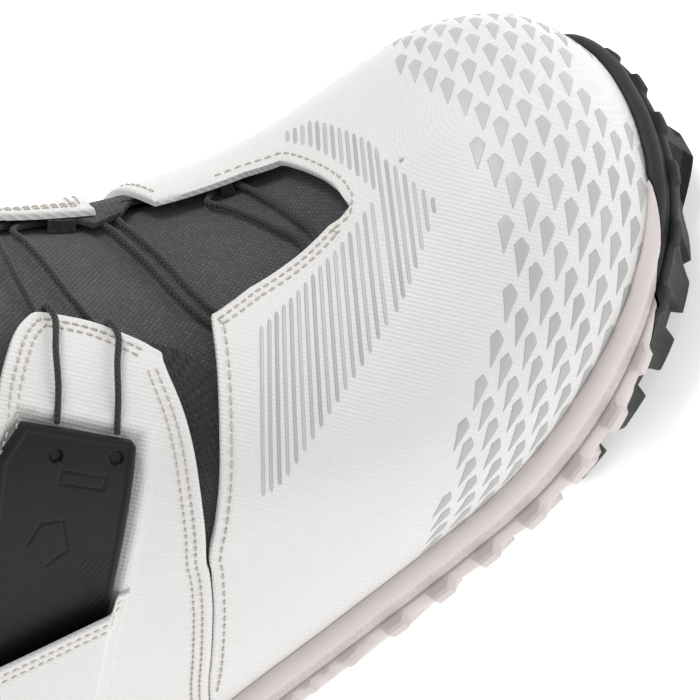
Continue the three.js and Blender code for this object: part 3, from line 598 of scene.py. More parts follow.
class Finish:
    """One material in the making: its tree, its principled shader and the place of a point on the piece."""

    def __init__(self, name, colour, roughness, **settings):
        self.material = bpy.data.materials.new(name)
        self.material.use_nodes = True
        self.material.diffuse_color = (*colour, 1)
        self.tree = self.material.node_tree
        self.shader = self.tree.nodes["Principled BSDF"]
        self.colour = (*colour, 1)
        self.shader.inputs["Base Color"].default_value = self.colour
        self.shader.inputs["Roughness"].default_value = roughness
        for key, value in settings.items():
            self.shader.inputs[key.replace("_", " ")].default_value = value
        self.place = self.tree.nodes.new("ShaderNodeTexCoord").outputs["Object"]

    def use(self, tree, **values):
        made = self.tree.nodes.new("ShaderNodeGroup")
        made.node_tree = tree
        for key, value in values.items():
            put(self.tree, made.inputs[key], value)
        return made.outputs

    def attribute(self, name, output="Fac"):
        made = self.tree.nodes.new("ShaderNodeAttribute")
        made.attribute_name = name
        return made.outputs[output]

    def tint(self, factor, colour):
        """Moves the colour so far towards another one."""
        self.colour = blend_colour(self.tree, factor, self.colour, (*colour, 1))
        put(self.tree, self.shader.inputs["Base Color"], self.colour)

    def rough(self, factor, low, high):
        put(self.tree, self.shader.inputs["Roughness"], between(self.tree, factor, 0.0, 1.0, low, high))

    def bump(self, height, depth, strength=1.0):
        """Bump in millimetres, on top of any bump already there."""
        made = self.tree.nodes.new("ShaderNodeBump")
        made.inputs["Strength"].default_value = strength
        made.inputs["Distance"].default_value = depth * MM
        put(self.tree, made.inputs["Height"], height)
        if self.shader.inputs["Normal"].is_linked:
            put(self.tree, made.inputs["Normal"], self.shader.inputs["Normal"].links[0].from_socket)
        put(self.tree, self.shader.inputs["Normal"], made.outputs[0])

    def along(self, direction):
        """Millimetres along a direction."""
        return calc(self.tree, "MULTIPLY", vector(self.tree, "DOT_PRODUCT", self.place, direction), 1000.0)

    def worn_and_shaded(self, amount, light, hollow_shade_colour):
        # Lighter rubbed edges, and painted shade that darkens the hollows.
        wear_and_shade = self.use(WEAR_AND_SHADE, Place=self.place, Amount=amount)
        self.tint(wear_and_shade["Edge"], light)
        self.tint(wear_and_shade["Painted_Hollow_Shade"], hollow_shade_colour)
        return wear_and_shade["Dust"]


def synthetic(name, colour, roughness=0.42, depth=0.11, across=0.3):
    """Coated synthetic leather with fine pressed lines, painted shade in their low parts and in the mesh's hollows.
    """
    m = Finish(name, colour, roughness, Specular_IOR_Level=0.45, Coat_Weight=0.06, Coat_Roughness=0.3)
    pressed = m.use(EMBOSS, Place=m.place, Pitch=1.02, Across=across)
    m.tint(calc(m.tree, "MULTIPLY", pressed["Mottle"], 0.25), tuple(0.93 * c for c in colour))
    # The darker colour here is painted shade in the hollows; the lighter one is rubbed edges.
    dust = m.worn_and_shaded(0.35, tuple(min(1, 1.05 * c) for c in colour), tuple(0.72 * c for c in colour))
    m.tint(calc(m.tree, "MULTIPLY", dust, 0.3), (0.74, 0.72, 0.69))
    # Painted shade: the low parts of the pressed lines are darkened.
    low = between(m.tree, pressed["Height"], 0.95, 0.35)
    m.tint(calc(m.tree, "MULTIPLY", low, 0.22), tuple(0.78 * c for c in colour))
    m.rough(pressed["Mottle"], roughness - 0.08, roughness + 0.14)
    m.bump(pressed["Height"], depth)
    return m.material


def woven(name, colour, spot, warp, weft, pitch=0.75, depth=0.18, sheen=0.25, spots=0.35):
    """Cloth in a basket weave, its threads along two directions of the boot, with painted shade in the gaps between
    threads.
    """
    m = Finish(name, colour, 0.85, Sheen_Weight=sheen, Sheen_Roughness=0.5, Specular_IOR_Level=0.3)
    threads = m.use(WEAVE, Warp=m.along(warp), Weft=m.along(weft), Pitch=pitch, Place=m.place)
    # Painted shade: near black where the threads are low, between them.
    m.tint(calc(m.tree, "MULTIPLY", between(m.tree, threads["Height"], 0.25, 0.9, 1.0, 0.0), 0.75),
           (0.008, 0.008, 0.009))
    light = calc(m.tree, "MULTIPLY", threads["Thread"], threads["Over"])
    m.tint(calc(m.tree, "MULTIPLY", light, spots), spot)
    m.tint(calc(m.tree, "MULTIPLY", m.use(WEAR_AND_SHADE, Place=m.place, Amount=0.5)["Dust"], 0.25), (0.25, 0.25, 0.26))
    m.rough(threads["Thread"], 0.75, 0.95)
    m.bump(threads["Height"], depth)
    return m.material


def braid(name, colour, spot, pitch=1.5, depth=0.12):
    """A braided cord: two sets of strands that wind round it both ways, from how far along and round a point
    lies, with painted shade between the strands.
    """
    m = Finish(name, colour, 0.7, Sheen_Weight=0.2, Sheen_Roughness=0.4)
    lay = m.attribute("lay", "Vector")
    parts = m.tree.nodes.new("ShaderNodeSeparateXYZ")
    put(m.tree, parts.inputs[0], lay)
    s, c, d = parts.outputs
    angle = calc(m.tree, "ARCTAN2", d, c)
    climb = calc(m.tree, "MULTIPLY", s, 2 * math.pi / pitch)
    waves = [calc(m.tree, "SINE", calc(m.tree, op, climb,
                                       calc(m.tree, "MULTIPLY", angle, 3.0))) for op in ("ADD", "SUBTRACT")]
    height = calc(m.tree, "MAXIMUM", *waves)
    # Painted shade: near black where the strands are low, between them.
    m.tint(between(m.tree, height, -0.3, 0.6, 0.85, 0.0), (0.004, 0.004, 0.004))
    fibre = noise(m.tree, m.place, 4200.0, 2.0)
    m.tint(calc(m.tree, "MULTIPLY", fibre, 0.4), spot)
    m.rough(fibre, 0.55, 0.85)
    m.bump(height, depth)
    m.bump(fibre, 0.05)
    return m.material


def moulded(name, colour, roughness, depth=0.03, grain=900.0, wear_and_shade=0.4, light=None, **settings):
    """Moulded plastic or rubber with a fine grain, rubbed edges and painted shade in its hollows."""
    m = Finish(name, colour, roughness, **settings)
    texture = noise(m.tree, m.place, grain, 4.0, 0.6)
    cloud = noise(m.tree, m.place, 38.0, 4.0)
    m.tint(calc(m.tree, "MULTIPLY", cloud, 0.3), tuple(0.88 * c for c in colour))
    # The darker colour is painted shade in the hollows; the lighter one is rubbed edges.
    dust = m.worn_and_shaded(wear_and_shade, light or tuple(min(1, 1.25 * c + 0.02) for c in colour),
                  tuple(0.6 * c for c in colour))
    m.tint(calc(m.tree, "MULTIPLY", dust, 0.22), tuple(0.8 * c + 0.05 for c in colour))
    m.rough(texture, roughness - 0.07, roughness + 0.12)
    m.bump(texture, depth)
    return m.material


def thread_finish(name, colour, hole_shade_colour):
    """Sewing thread: fine twist along each stitch, with painted shade in the twist's low parts and where it goes down
    into its hole.
    """
    m = Finish(name, colour, 0.6, Sheen_Weight=0.15)
    # Painted shade of the hole at each end of a stitch.
    m.tint(between(m.tree, m.attribute("end"), 0.55, 1.0), hole_shade_colour)
    twist = calc(m.tree, "SINE", calc(m.tree, "MULTIPLY", m.attribute("twist"), 2 * math.pi))
    # Painted shade in the low parts of the twist.
    m.tint(between(m.tree, twist, 0.2, -0.9, 0.0, 0.35), tuple(0.55 * c for c in colour))
    m.bump(twist, 0.05)
    return m.material


def printed(name, colour, shade, roughness=0.36):
    """A raised print: its own tone on each mark from the piece, on the kites partly a painted shade towards the
    lateral side, a painted shade along the rim, and a fine satin grain.
    """
    m = Finish(name, colour, roughness, Specular_IOR_Level=0.5, Metallic=0.1)
    m.tint(between(m.tree, m.attribute("tone"), 0.0, 1.0), shade)
    # Painted shade along the rim of each mark.
    m.tint(between(m.tree, m.attribute("rim"), 0.45, 1.0, 0.0, 0.8), tuple(0.72 * c for c in shade))
    grain = noise(m.tree, m.place, 2600.0, 3.0)
    m.rough(grain, roughness - 0.06, roughness + 0.12)
    m.bump(grain, 0.02)
    return m.material


def sole_finish(name, colour):
    """Sole rubber: smooth, apart from the roughened band round the sidewall where the piece says so."""
    m = Finish(name, colour, 0.5, Specular_IOR_Level=0.4)
    band = m.attribute("band")
    pebble = m.tree.nodes.new("ShaderNodeTexVoronoi")
    pebble.inputs["Scale"].default_value = 950.0
    put(m.tree, pebble.inputs["Vector"], m.place)
    rough_skin = calc(m.tree, "MULTIPLY", pebble.outputs["Distance"], band)
    m.tint(calc(m.tree, "MULTIPLY", rough_skin, 0.45), tuple(0.62 * c for c in colour))
    cloud = noise(m.tree, m.place, 60.0, 5.0)
    m.tint(calc(m.tree, "MULTIPLY", cloud, 0.2), tuple(0.9 * c for c in colour))
    # The darker colour is painted shade in the hollows; the lighter one is rubbed edges.
    dust = m.worn_and_shaded(0.4, tuple(min(1, 1.06 * c) for c in colour), tuple(0.6 * c for c in colour))
    m.tint(calc(m.tree, "MULTIPLY", dust, 0.3), (0.62, 0.55, 0.53))
    m.rough(cloud, 0.42, 0.68)
    m.bump(rough_skin, 0.3)
    m.bump(noise(m.tree, m.place, 1500.0, 3.0), 0.03)
    return m.material


ACROSS, UPWARDS, LENGTHWISE = (0, 1, 0), (-0.62, 0, 0.78), (1, 0, 0)
SLANT_UP, SLANT_ALONG = (-0.25, 0, 0.97), (0.97, 0, 0.25)
WHITE = synthetic("white_synthetic", (0.83, 0.822, 0.81))
TRIM = synthetic("dark_trim", (0.03, 0.031, 0.034), 0.5, 0.04)
TONGUE_CLOTH = woven("tongue_cloth", (0.052, 0.053, 0.058), (0.2, 0.2, 0.21), ACROSS, UPWARDS, 0.75, 0.2)
GUSSET_CLOTH = woven("gusset_cloth", (0.017, 0.017, 0.019), (0.07, 0.07, 0.075), SLANT_ALONG, SLANT_UP,
                     0.95, 0.25)
COLLAR_CLOTH = woven("collar_cloth", (0.028, 0.029, 0.032), (0.09, 0.09, 0.095), LENGTHWISE, ACROSS, 0.8,
                     0.15)
LINER_CLOTH = woven("liner_cloth", (0.045, 0.047, 0.052), (0.12, 0.12, 0.13), SLANT_ALONG, SLANT_UP, 1.1,
                    0.2, 0.5)
FOOTBED_CLOTH = woven("footbed_cloth", (0.06, 0.062, 0.066), (0.2, 0.2, 0.2), LENGTHWISE, ACROSS, 0.9, 0.15,
                      0.4)
WEBBING = woven("webbing", (0.014, 0.014, 0.015), (0.06, 0.06, 0.062), ACROSS, UPWARDS, 1.3, 0.3, 0.3)
CORD = braid("lace_braid", (0.014, 0.014, 0.015), (0.07, 0.07, 0.075))
PLASTIC = moulded("handle_plastic", (0.006, 0.006, 0.0065), 0.48, 0.035, 800.0, 0.3, (0.045, 0.045, 0.047),
                  Specular_IOR_Level=0.3)
BLACK_RUBBER = moulded("black_rubber", (0.008, 0.008, 0.0085), 0.65, 0.05, 700.0, 0.5, (0.07, 0.07, 0.07))
SOLE_RUBBER = sole_finish("sole_rubber", (0.72, 0.655, 0.64))
BOARD = moulded("board", (0.42, 0.36, 0.28), 0.85, 0.08, 500.0)
FOAM = moulded("foam", (0.24, 0.25, 0.26), 0.9, 0.15, 350.0)
STIFFENER = moulded("stiffener", (0.05, 0.05, 0.055), 0.7, 0.05, 600.0)
# The second colour of each thread is the painted shade of its holes.
THREAD = thread_finish("thread", (0.70, 0.64, 0.56), (0.16, 0.11, 0.07))
WHITE_THREAD = thread_finish("white_thread", (0.72, 0.70, 0.67), (0.1, 0.09, 0.08))
PRINT = printed("silver_print", (0.60, 0.60, 0.595), (0.44, 0.44, 0.445), 0.5)
GROOVE = printed("groove_fill", (0.60, 0.60, 0.595), (0.40, 0.40, 0.405), 0.5)


# ---- outlines of the panels ---------------------------------------------------------------------
LATERAL, MEDIAL = 1, -1
THROAT = {
    LATERAL: np.array([
        (3.36, 4), (3.48, 5.2), (3.6, 5), (3.95, 7.5), (4.46, 11), (4.86, 16),
    ], float),
    MEDIAL: np.array([
        (3.36, 4), (3.38, 0), (3.46, -5), (3.6, -12), (3.75, -19), (4.1, -22.5), (4.5, -23), (4.9, -23),
    ], float),
}
LATERAL_EDGE = np.array([
    (3.3, 4), (3.6, 5), (4.45, 11), (4.9, 16), (5.4, 25), (5.7, 18), (6.3, 10.5), (7.2, 15), (8.5, 22),
    (14, 26),
]).T
MEDIAL_EDGE = np.array([(3.3, 0), (3.5, -6), (3.75, -19), (4.3, -23), (5.2, -23), (6.2, -28), (7.2, -26),
                        (14, -28)]).T
V_FRONT = [(5.01, 29), (5.21, 42), (5.46, 56), (5.74, 70), (6.04, 82), (6.24, 88), (6.36, 92), (6.46, 97),
           (6.63, 106), (6.88, 122)]
V_REAR = [(5.44, 28), (5.54, 44), (5.71, 58), (5.94, 72), (6.16, 84), (6.29, 89), (6.367, 92), (6.467, 97),
          (6.637, 106), (6.887, 122)]
SEAM_END = 6.96
HEEL_SEAM_TOP, HEEL_SEAM_FOOT = (-88.4, 111.4), (-97.9, 21)
COLLAR_FALL = 12
SPINE = 12.3  # half width of the strip up the back


def feather_run(t0, t1, side, count, drop=TUCK):
    t = np.linspace(t0, t1, 90)
    return run(np.stack([t, side * feather_phi(t, drop)], -1), count)


def collar_line(phi, drop):
    """Station at each angle where the boot is the given drop below its collar's plane, by halving."""
    low, high = np.full(np.shape(phi), 11.0), np.full(np.shape(phi), float(LAST))
    for _ in range(24):
        middle = (low + high) / 2
        p = skin(middle, phi)
        under = p[..., 2] < 288 + (p[..., 0] + 115) * 12 / 126 - drop
        low, high = np.where(under, middle, low), np.where(under, high, middle)
    return np.stack([low, np.broadcast_to(phi, low.shape)], -1)


def back_angle(t, y):
    """The angle at the back of section t where the surface is at y."""
    s = (column(SECTIONS[:, 5], 1, t) - y) / column(SECTIONS[:, 4], -1, t)
    return 180 - np.degrees(np.arcsin(np.sign(s) * np.abs(s) ** (SQUARENESS / 2)))


def vamp_half(side):
    """Toe to the V, and ridge or throat to inside the sole."""
    corner = THROAT[side][-1]
    foot = (SEAM_END, side * feather_phi(np.array(SEAM_END), TUCK))
    rear = np.concatenate([[corner], [(t, side * a) for t, a in V_FRONT if a > abs(corner[1]) + 3], [foot]])
    inner = np.concatenate([run([(0.0, 4), (1, 4), (3.36, 4)], 92), run(THROAT[side], 44)[1:]])
    t = np.linspace(0, SEAM_END, 200)
    low = np.stack([t, side * feather_phi(t, TUCK)], -1)
    lower = np.concatenate([run(low[low[:, 0] <= 3.4], 92), run(low[low[:, 0] >= 3.38], 44)[1:]])
    lower[0] = (0.0, side * 180)
    front = np.stack([np.zeros(110), np.linspace(4, side * 180, 110)], -1)
    return patch(front, run(curved(rear), 110), inner, lower)


def quarter_outline(side):
    """Corner curves of a quarter: front, rear, top and lower edge."""
    foot = (SEAM_END + 0.007, side * feather_phi(np.array(SEAM_END + 0.007), TUCK))
    if side == LATERAL:
        throat_top = [(5.41, 26), (5.47, 23), (5.56, 20), (5.79, 14.5), (6.05, 12.2), (6.2, 11.6),
                      (6.26, 13), (6.41, 18), (6.58, 27), (6.72, 34)]
        start = 92
    else:
        throat_top = [(5.4, -25), (5.6, -25.8), (5.95, -27), (6.2, -28.4), (6.32, -30), (6.5, -33),
                      (6.72, -40)]
        start = 90
    top = np.concatenate([
        curved(throat_top),
        side_line([ray(QUARTER_RAY, start), ray(QUARTER_RAY, 2), ray(HEEL_RAY, 2), HEEL_SEAM_TOP], side, 60),
    ])
    front = np.concatenate([[throat_top[0]], [(t, side * a) for t,
                                              a in V_REAR if a > abs(throat_top[0][1]) + 1], [foot]])
    rear = side_line([HEEL_SEAM_TOP, HEEL_SEAM_FOOT], side, 110)
    top = run(top, 130)
    rear[0] = top[-1]
    lower = feather_run(foot[0], rear[-1, 0], side, 130)
    rear[-1] = lower[-1]
    return run(curved(front), 110), rear, top, lower


def cuff_outline(side):
    edge = LATERAL_EDGE if side == LATERAL else MEDIAL_EDGE
    bottom = side_line([ray(CUFF_RAY, 104, 1), ray(CUFF_RAY, 2, 1), ray(HEEL_RAY, 2, 1),
                        ray(HEEL_RAY, 70, 1)], side, 300)
    limit = np.interp(bottom[:, 0], *edge)
    bottom = bottom[np.abs(bottom[:, 1]) > np.abs(limit) + 0.5]
    bottom = bottom[np.abs(bottom[:, 1]) < back_angle(bottom[:, 0], -SPINE) - 0.2]
    t = np.linspace(bottom[0, 0], 12.8, 80)
    front = np.stack([t, np.interp(t, *edge)], -1)
    p = skin(*front.T)
    front = front[p[:, 2] < 288 + (p[:, 0] + 115) * 12 / 126 - COLLAR_FALL]
    t = np.linspace(bottom[-1, 0], 12.8, 80)
    rear = np.stack([t, side * back_angle(t, -SPINE)], -1)
    p = skin(*rear.T)
    rear = rear[p[:, 2] < 288 + (p[:, 0] + 115) * 12 / 126 - COLLAR_FALL]
    top = collar_line(np.linspace(front[-1, 1], rear[-1, 1], 120), COLLAR_FALL)
    front = np.concatenate([[bottom[0]], front[1:-1], [top[0]]])
    rear = np.concatenate([[bottom[-1]], rear[1:-1], [top[-1]]])
    return run(front, 120), run(rear, 120), run(bottom, 130), run(top, 130)


# ---- the panels ---------------------------------------------------------------------------------
OVERLAY, BACKING = 2.0, 1.2
STITCH_IN, STITCH_GAP = 2.6, 2.1  # first row of stitches from an edge, and the second row from it


def far_from(points, curve):
    """Distance of each point from a curve given by its points."""
    flat = points.reshape(-1, 3)
    nearest = [np.sqrt(((flat[k:k + 4000, None] - curve[None]) ** 2).sum(-1).min(1)) for k in range(0,
        len(flat), 4000)]
    return np.concatenate(nearest).reshape(points.shape[:-1])


def make_vamp():
    throat = np.concatenate([run(THROAT[LATERAL], 260), run(THROAT[MEDIAL], 260)])
    lip = skin(*throat.T)
    shapes = []
    for side in (LATERAL, MEDIAL):
        grid = refine(vamp_half(side), (False, True), (False, False))
        t, phi = grid[..., 0], grid[..., 1]
        p = skin(t, phi)
        behind = edge_distance(p)[1]
        top = -roll_off(far_from(p, lip), 0.9) - roll_off(behind, 0.8)
        top -= 0.22 * np.exp(-(((behind - STITCH_IN) / 0.55) ** 2))
        shapes.append(two_layers(at(t, phi, top), at(t, phi, np.full(t.shape, -OVERLAY))))
    build("vamp_panel", joined(*shapes), WHITE, "lower_shell", ["vamp"], angle=60)


def handle_frame(t, phi, to_t, to_phi):
    """Origin on the surface and rows x (across), y (out of the pocket) and z (off the boot)."""
    origin, z = skin(t, phi), outward(t, phi)
    y = skin(to_t, to_phi) - origin
    y = unit(y - z * (y @ z))
    return origin, np.stack([np.cross(y, z), y, z])


LOWER, UPPER = (7.07, 79, 6.45, 53), (11.6, 88, 12.5, 84)
FRAMES = {"lower": handle_frame(*LOWER), "upper": handle_frame(*UPPER)}
GUESS = {"lower": (6.8, 68.0), "upper": (11.9, 86.0)}
REAR, FRONT, BOTTOM, HANDLE_THICK = -20.0, 12.3, -44.0, 4.2  # the handle's edges in its frame, and its thickness
CUT, CUT_DOWN, BEVEL = 5.2, 9.0, 6.0  # its rear upper corner, and its two lower corners
CORD_HOLES, HOLE_Y = (-6.6, 7.8), 26.7
FACE = {"lower": 2.6, "upper": 4.7}
POCKET_TOP = {"lower": 7.4, "upper": 9.5}


def in_frame(name, points):
    origin, axes = FRAMES[name]
    return (points - origin) @ axes.T


def under(name, x, y):
    """Station and angle of the surface point with the given x and y in a handle's frame."""
    t, phi = np.full(x.shape, GUESS[name][0]), np.full(x.shape, GUESS[name][1])
    for _ in range(12):
        p = in_frame(name, skin(t, phi))
        dt = (in_frame(name, skin(t + 0.01, phi)) - p) * 100
        dp = (in_frame(name, skin(t, phi + 0.1)) - p) * 10
        det = dt[..., 0] * dp[..., 1] - dt[..., 1] * dp[..., 0]
        ex, ey = x - p[..., 0], y - p[..., 1]
        t = np.clip(t + np.clip((ex * dp[..., 1] - ey * dp[..., 0]) / det, -0.6, 0.6), 0.1, LAST)
        phi = phi + np.clip((dt[..., 0] * ey - dt[..., 1] * ex) / det, -20, 20)
    return t, phi


def top_at(x):
    """The handle's upper edge leans."""
    return 31.7 - 0.12 * x


def mouth_at(x):
    """The pocket's mouth slants down towards the heel."""
    return -21.8 + 0.62 * x


def plate_distance(x, y):
    """Signed distance to the handle's outline, negative inside: the largest distance beyond any of its
    sides.
    """
    corners = np.array([
        (REAR + BEVEL, BOTTOM), (FRONT - BEVEL, BOTTOM), (FRONT, BOTTOM + BEVEL), (FRONT, top_at(FRONT)),
        (REAR + CUT, top_at(REAR + CUT)), (REAR, top_at(REAR) - CUT_DOWN), (REAR, BOTTOM + BEVEL),
    ])
    side = unit(np.roll(corners, -1, 0) - corners)
    return np.max([(x - px) * sy - (y - py) * sx for (px, py), (sx, sy) in zip(corners, side)], axis=0)


def make_quarter(side):
    front, rear, top, lower = quarter_outline(side)
    grid = refine(patch(front, rear, top, lower), (True, True), (True, False))
    t, phi = grid[..., 0], grid[..., 1]
    p = skin(t, phi)
    far = edge_distance(p)
    outer = -sum(roll_off(far[k], 0.8) for k in (0, 1, 2))
    for k in (0, 2):
        for distance in (STITCH_IN, STITCH_IN + STITCH_GAP):
            outer -= 0.16 * np.exp(-(((far[k] - distance) / 0.5) ** 2))
    inner = np.full(t.shape, -OVERLAY)
    replaces = ["quarter_medial"]
    if side == LATERAL:
        local = in_frame("lower", p)
        hollow = plate_distance(local[..., 0], local[..., 1]) - 1.4
        depth = ease(0.5 - hollow / 2.4) * (np.abs(local[..., 2]) < 25)
        outer = outer - 1.75 * depth + 0.35 * np.exp(-((hollow - 1.8) / 1.3) ** 2)
        inner = inner - 1.1 * ease(0.5 - (hollow - 2) / 2.4) * (np.abs(local[..., 2]) < 25)
        replaces = ["quarter_lateral", "lower_handle_seat"]
    name = "quarter_lateral_panel" if side == LATERAL else "quarter_medial_panel"
    shape = two_layers(at(t, phi, outer), at(t, phi, inner))
    build(name, shape, WHITE, "lower_shell", replaces, angle=60)


def make_heel_cup():
    rows, around = 90, 130
    seam = {s: side_line([(HEEL_SEAM_TOP[0] - 0.3, HEEL_SEAM_TOP[1]),
                          (HEEL_SEAM_FOOT[0] - 0.3, HEEL_SEAM_FOOT[1])], s, rows) for s in (1, -1)}
    half_top = side_line([(HEEL_SEAM_TOP[0] - 0.3, HEEL_SEAM_TOP[1]), ray(HEEL_RAY, 69.8)], 1, 60)
    half_low = side_line([(HEEL_SEAM_FOOT[0] - 0.3, 21), (-139.7, 21)], 1, 60)
    whole = []
    for half in (half_top, half_low):
        half[-1, 1] = 180
        mirrored = np.stack([half[::-1, 0], 360 - half[::-1, 1]], -1)
        whole.append(run(np.concatenate([half, mirrored[1:]]), around))
    front, rear = seam[1], np.stack([seam[-1][:, 0], 360 + seam[-1][:, 1]], -1)
    for k, curve in ((0, whole[0]), (-1, whole[1])):
        front[k], rear[k] = curve[0], curve[-1]
    grid = refine(patch(front, rear, *whole), (True, True), (True, False))
    t, phi = grid[..., 0], grid[..., 1]
    far = edge_distance(skin(t, phi))
    outer = -sum(roll_off(far[k], 0.8) for k in (0, 1, 2))
    shape = two_layers(at(t, phi, outer), at(t, phi, np.full(t.shape, -OVERLAY)))
    build("heel_cup_panel", shape, WHITE, "lower_shell", ["heel_cup"], angle=60)


def make_cuff(side):
    front, rear, bottom, top = cuff_outline(side)
    grid = refine(patch(front, rear, bottom, top))
    t, phi = grid[..., 0], grid[..., 1]
    far = edge_distance(skin(t, phi))
    outer = -sum(roll_off(far[k], 0.8) for k in range(4))
    for k in (0, 2, 3):
        outer -= 0.16 * np.exp(-(((far[k] - STITCH_IN) / 0.5) ** 2))
    name, node = ("cuff_lateral_panel", "cuff_lateral") if side == LATERAL else ("cuff_medial_panel",
                                                                                 "cuff_medial")
    shape = two_layers(at(t, phi, outer), at(t, phi, np.full(t.shape, -OVERLAY)))
    build(name, shape, WHITE, "cuff", [node], angle=60)


def make_backstay():
    t = np.linspace(10.92, 12.7, 100)
    edge = np.stack([t, back_angle(t, -SPINE + 0.6)], -1)
    p = skin(*edge.T)
    low = 111 + np.abs(p[:, 0] + 75) * math.tan(math.radians(180 - HEEL_RAY))
    edge = edge[(p[:, 2] < 288 + (p[:, 0] + 115) * 12 / 126 - COLLAR_FALL) & (p[:, 2] > low)]
    left = run(edge, 110)
    right = np.stack([left[:, 0], 360 - left[:, 1]], -1)
    ends = [np.stack([np.full(22, left[k, 0]), np.linspace(left[k, 1], right[k, 1], 22)], -1) for k in (0,
                                                                                                        -1)]
    grid = refine(patch(ends[0], ends[1], left, right))
    t, phi = grid[..., 0], grid[..., 1]
    far = edge_distance(skin(t, phi))
    ribs = 0.35 * ease(np.abs((far[0] / 7.5) % 1 - 0.5) * 6 - 1) * ease((np.minimum(far[2],
                                                                                    far[3]) - 3.4) / 0.8)
    outer = 0.5 - roll_off(far[0], 0.8) - roll_off(far[1], 0.8) - roll_off(far[2], 0.8) - roll_off(far[3],
        0.8) + ribs
    shape = two_layers(at(t, phi, outer), at(t, phi, np.full(t.shape, -OVERLAY)))
    build("backstay_strip", shape, TRIM, "cuff", ["backstay"], angle=60)


# ---- cloth behind the panels --------------------------------------------------------------------
def cloth(name, grid, height, material, body, replaces, thickness=BACKING, crown=0.0, folds=0.25,
          scale=0.16):
    """A soft layer: a wall at a height under the surface, crowned away from its edges, with shallow folds."""
    t, phi = grid[..., 0], grid[..., 1]
    p = skin(t, phi)
    near = np.min(edge_distance(p), axis=0)
    lift = crown * ease(near / 10) + folds * ripple(p, scale) * ease(near / 6)
    outer = at(t, phi, height + lift - roll_off(near, 0.5))
    shape = two_layers(outer, at(t, phi, np.full(t.shape, height - thickness)))
    return build(name, shape, material, body, replaces, angle=60)


def make_vee(side):
    """Dark cloth in the V between vamp and quarter, tucked 7 mm under each."""
    front = [(4.93, 29.5), *V_FRONT]
    rear = [(5.43, 29.5), *V_REAR]
    ahead = offset(run([(t, side * a) for t, a in front], 80), 7 * side)
    after = offset(run([(t, side * a) for t, a in rear], 80), -7 * side)
    ends = [np.linspace(ahead[k], after[k], 24) for k in (0, -1)]
    grid = refine(patch(ahead, after, ends[0], ends[1]))
    name = "vamp_gusset_lateral" if side == LATERAL else "vamp_gusset_medial"
    t, phi = grid[..., 0], grid[..., 1]
    low = skin(t, phi)[..., 2] > 48
    keep = low.all(0)
    grid = grid[:, keep]
    cloth(name + "_cloth", grid, -OVERLAY - 0.3, GUSSET_CLOTH, "lower_shell", [name],
          crown=0.3, folds=0.12)


def bend_at_ankle(piece):
    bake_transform(piece)


def make_ankle_gusset():
    """Stretch cloth from behind the quarters up inside the cuff, all round the heel."""
    reach = 9
    curves = []
    for degrees, back, lift, span in ((QUARTER_RAY, HEEL_RAY, -reach, 102),
                                      (CUFF_RAY, HEEL_RAY, reach + 1, 96)):
        half = side_line([ray(degrees, span, lift), ray(degrees, 1, lift), ray(back, 1, lift),
                          ray(back, 71, lift)], 1, 200)
        half = half[half[:, 1] > 30]
        keel = half[-1].copy()
        half = np.concatenate([half, [[keel[0] + (keel[0] - half[-2, 0]), 180]]]) if keel[1] < 180 else half
        mirrored = np.stack([half[::-1, 0], 360 - half[::-1, 1]], -1)
        curves.append(run(np.concatenate([half, mirrored[1:]]), 190))
    ends = [np.linspace(curves[0][k], curves[1][k], 44) for k in (0, -1)]
    grid = patch(ends[0], ends[1], curves[0], curves[1])
    t, phi = grid[..., 0], grid[..., 1]
    p = skin(t, phi)
    near = np.min(edge_distance(p), axis=0)
    local = in_frame("lower", p)
    seat = plate_distance(local[..., 0], local[..., 1]) - 6
    sink = 1.3 * ease(0.5 - (seat - 1) / 4) * (np.abs(local[..., 2]) < 25)
    lift = 0.35 * np.sin(near * 1.1) * ease(near / 5) + 0.2 * ripple(p, 0.12)
    outer = at(t, phi, -OVERLAY - 0.45 + np.minimum(lift, 0.1) - sink)
    shape = two_layers(outer, at(t, phi, -OVERLAY - 0.3 - BACKING - sink * 0.4))
    piece = build("ankle_gusset_cloth", shape, GUSSET_CLOTH, None, ["ankle_gusset"], angle=60)
    bend_at_ankle(piece)


def make_tongue():
    """Padded tongue: from under the vamp to above the collar, lightly crowned, with creases at the ankle's
    bend.
    """
    phi = np.linspace(-48, 42, 150)
    t = np.linspace(0, 1, 330)[:, None]
    top = collar_line(phi, 3)[:, 0]
    station_ = 3.02 + (top - 3.02)[None] * t
    grid = np.stack([station_, np.broadcast_to(phi, station_.shape)], -1)
    p = skin(grid[..., 0], grid[..., 1])
    near = np.min(edge_distance(p), axis=0)
    crease = np.exp(-(((grid[..., 0] - 6.9) / 0.75) ** 2)) * np.sin(p[...,
        2] * 0.62 + 2.2 * np.sin(p[..., 1] * 0.09))
    lift = 0.35 * crease + 0.22 * ripple(p, 0.11, 1) - roll_off(near, 0.8)
    outer = at(grid[..., 0], grid[..., 1], -5.85 + np.minimum(lift, 0.42))
    shape = two_layers(outer, at(grid[..., 0], grid[..., 1], np.full(near.shape, -7.35)))
    piece = build("tongue_padded", shape, TONGUE_CLOTH, None, ["tongue"], angle=60)
    bend_at_ankle(piece)


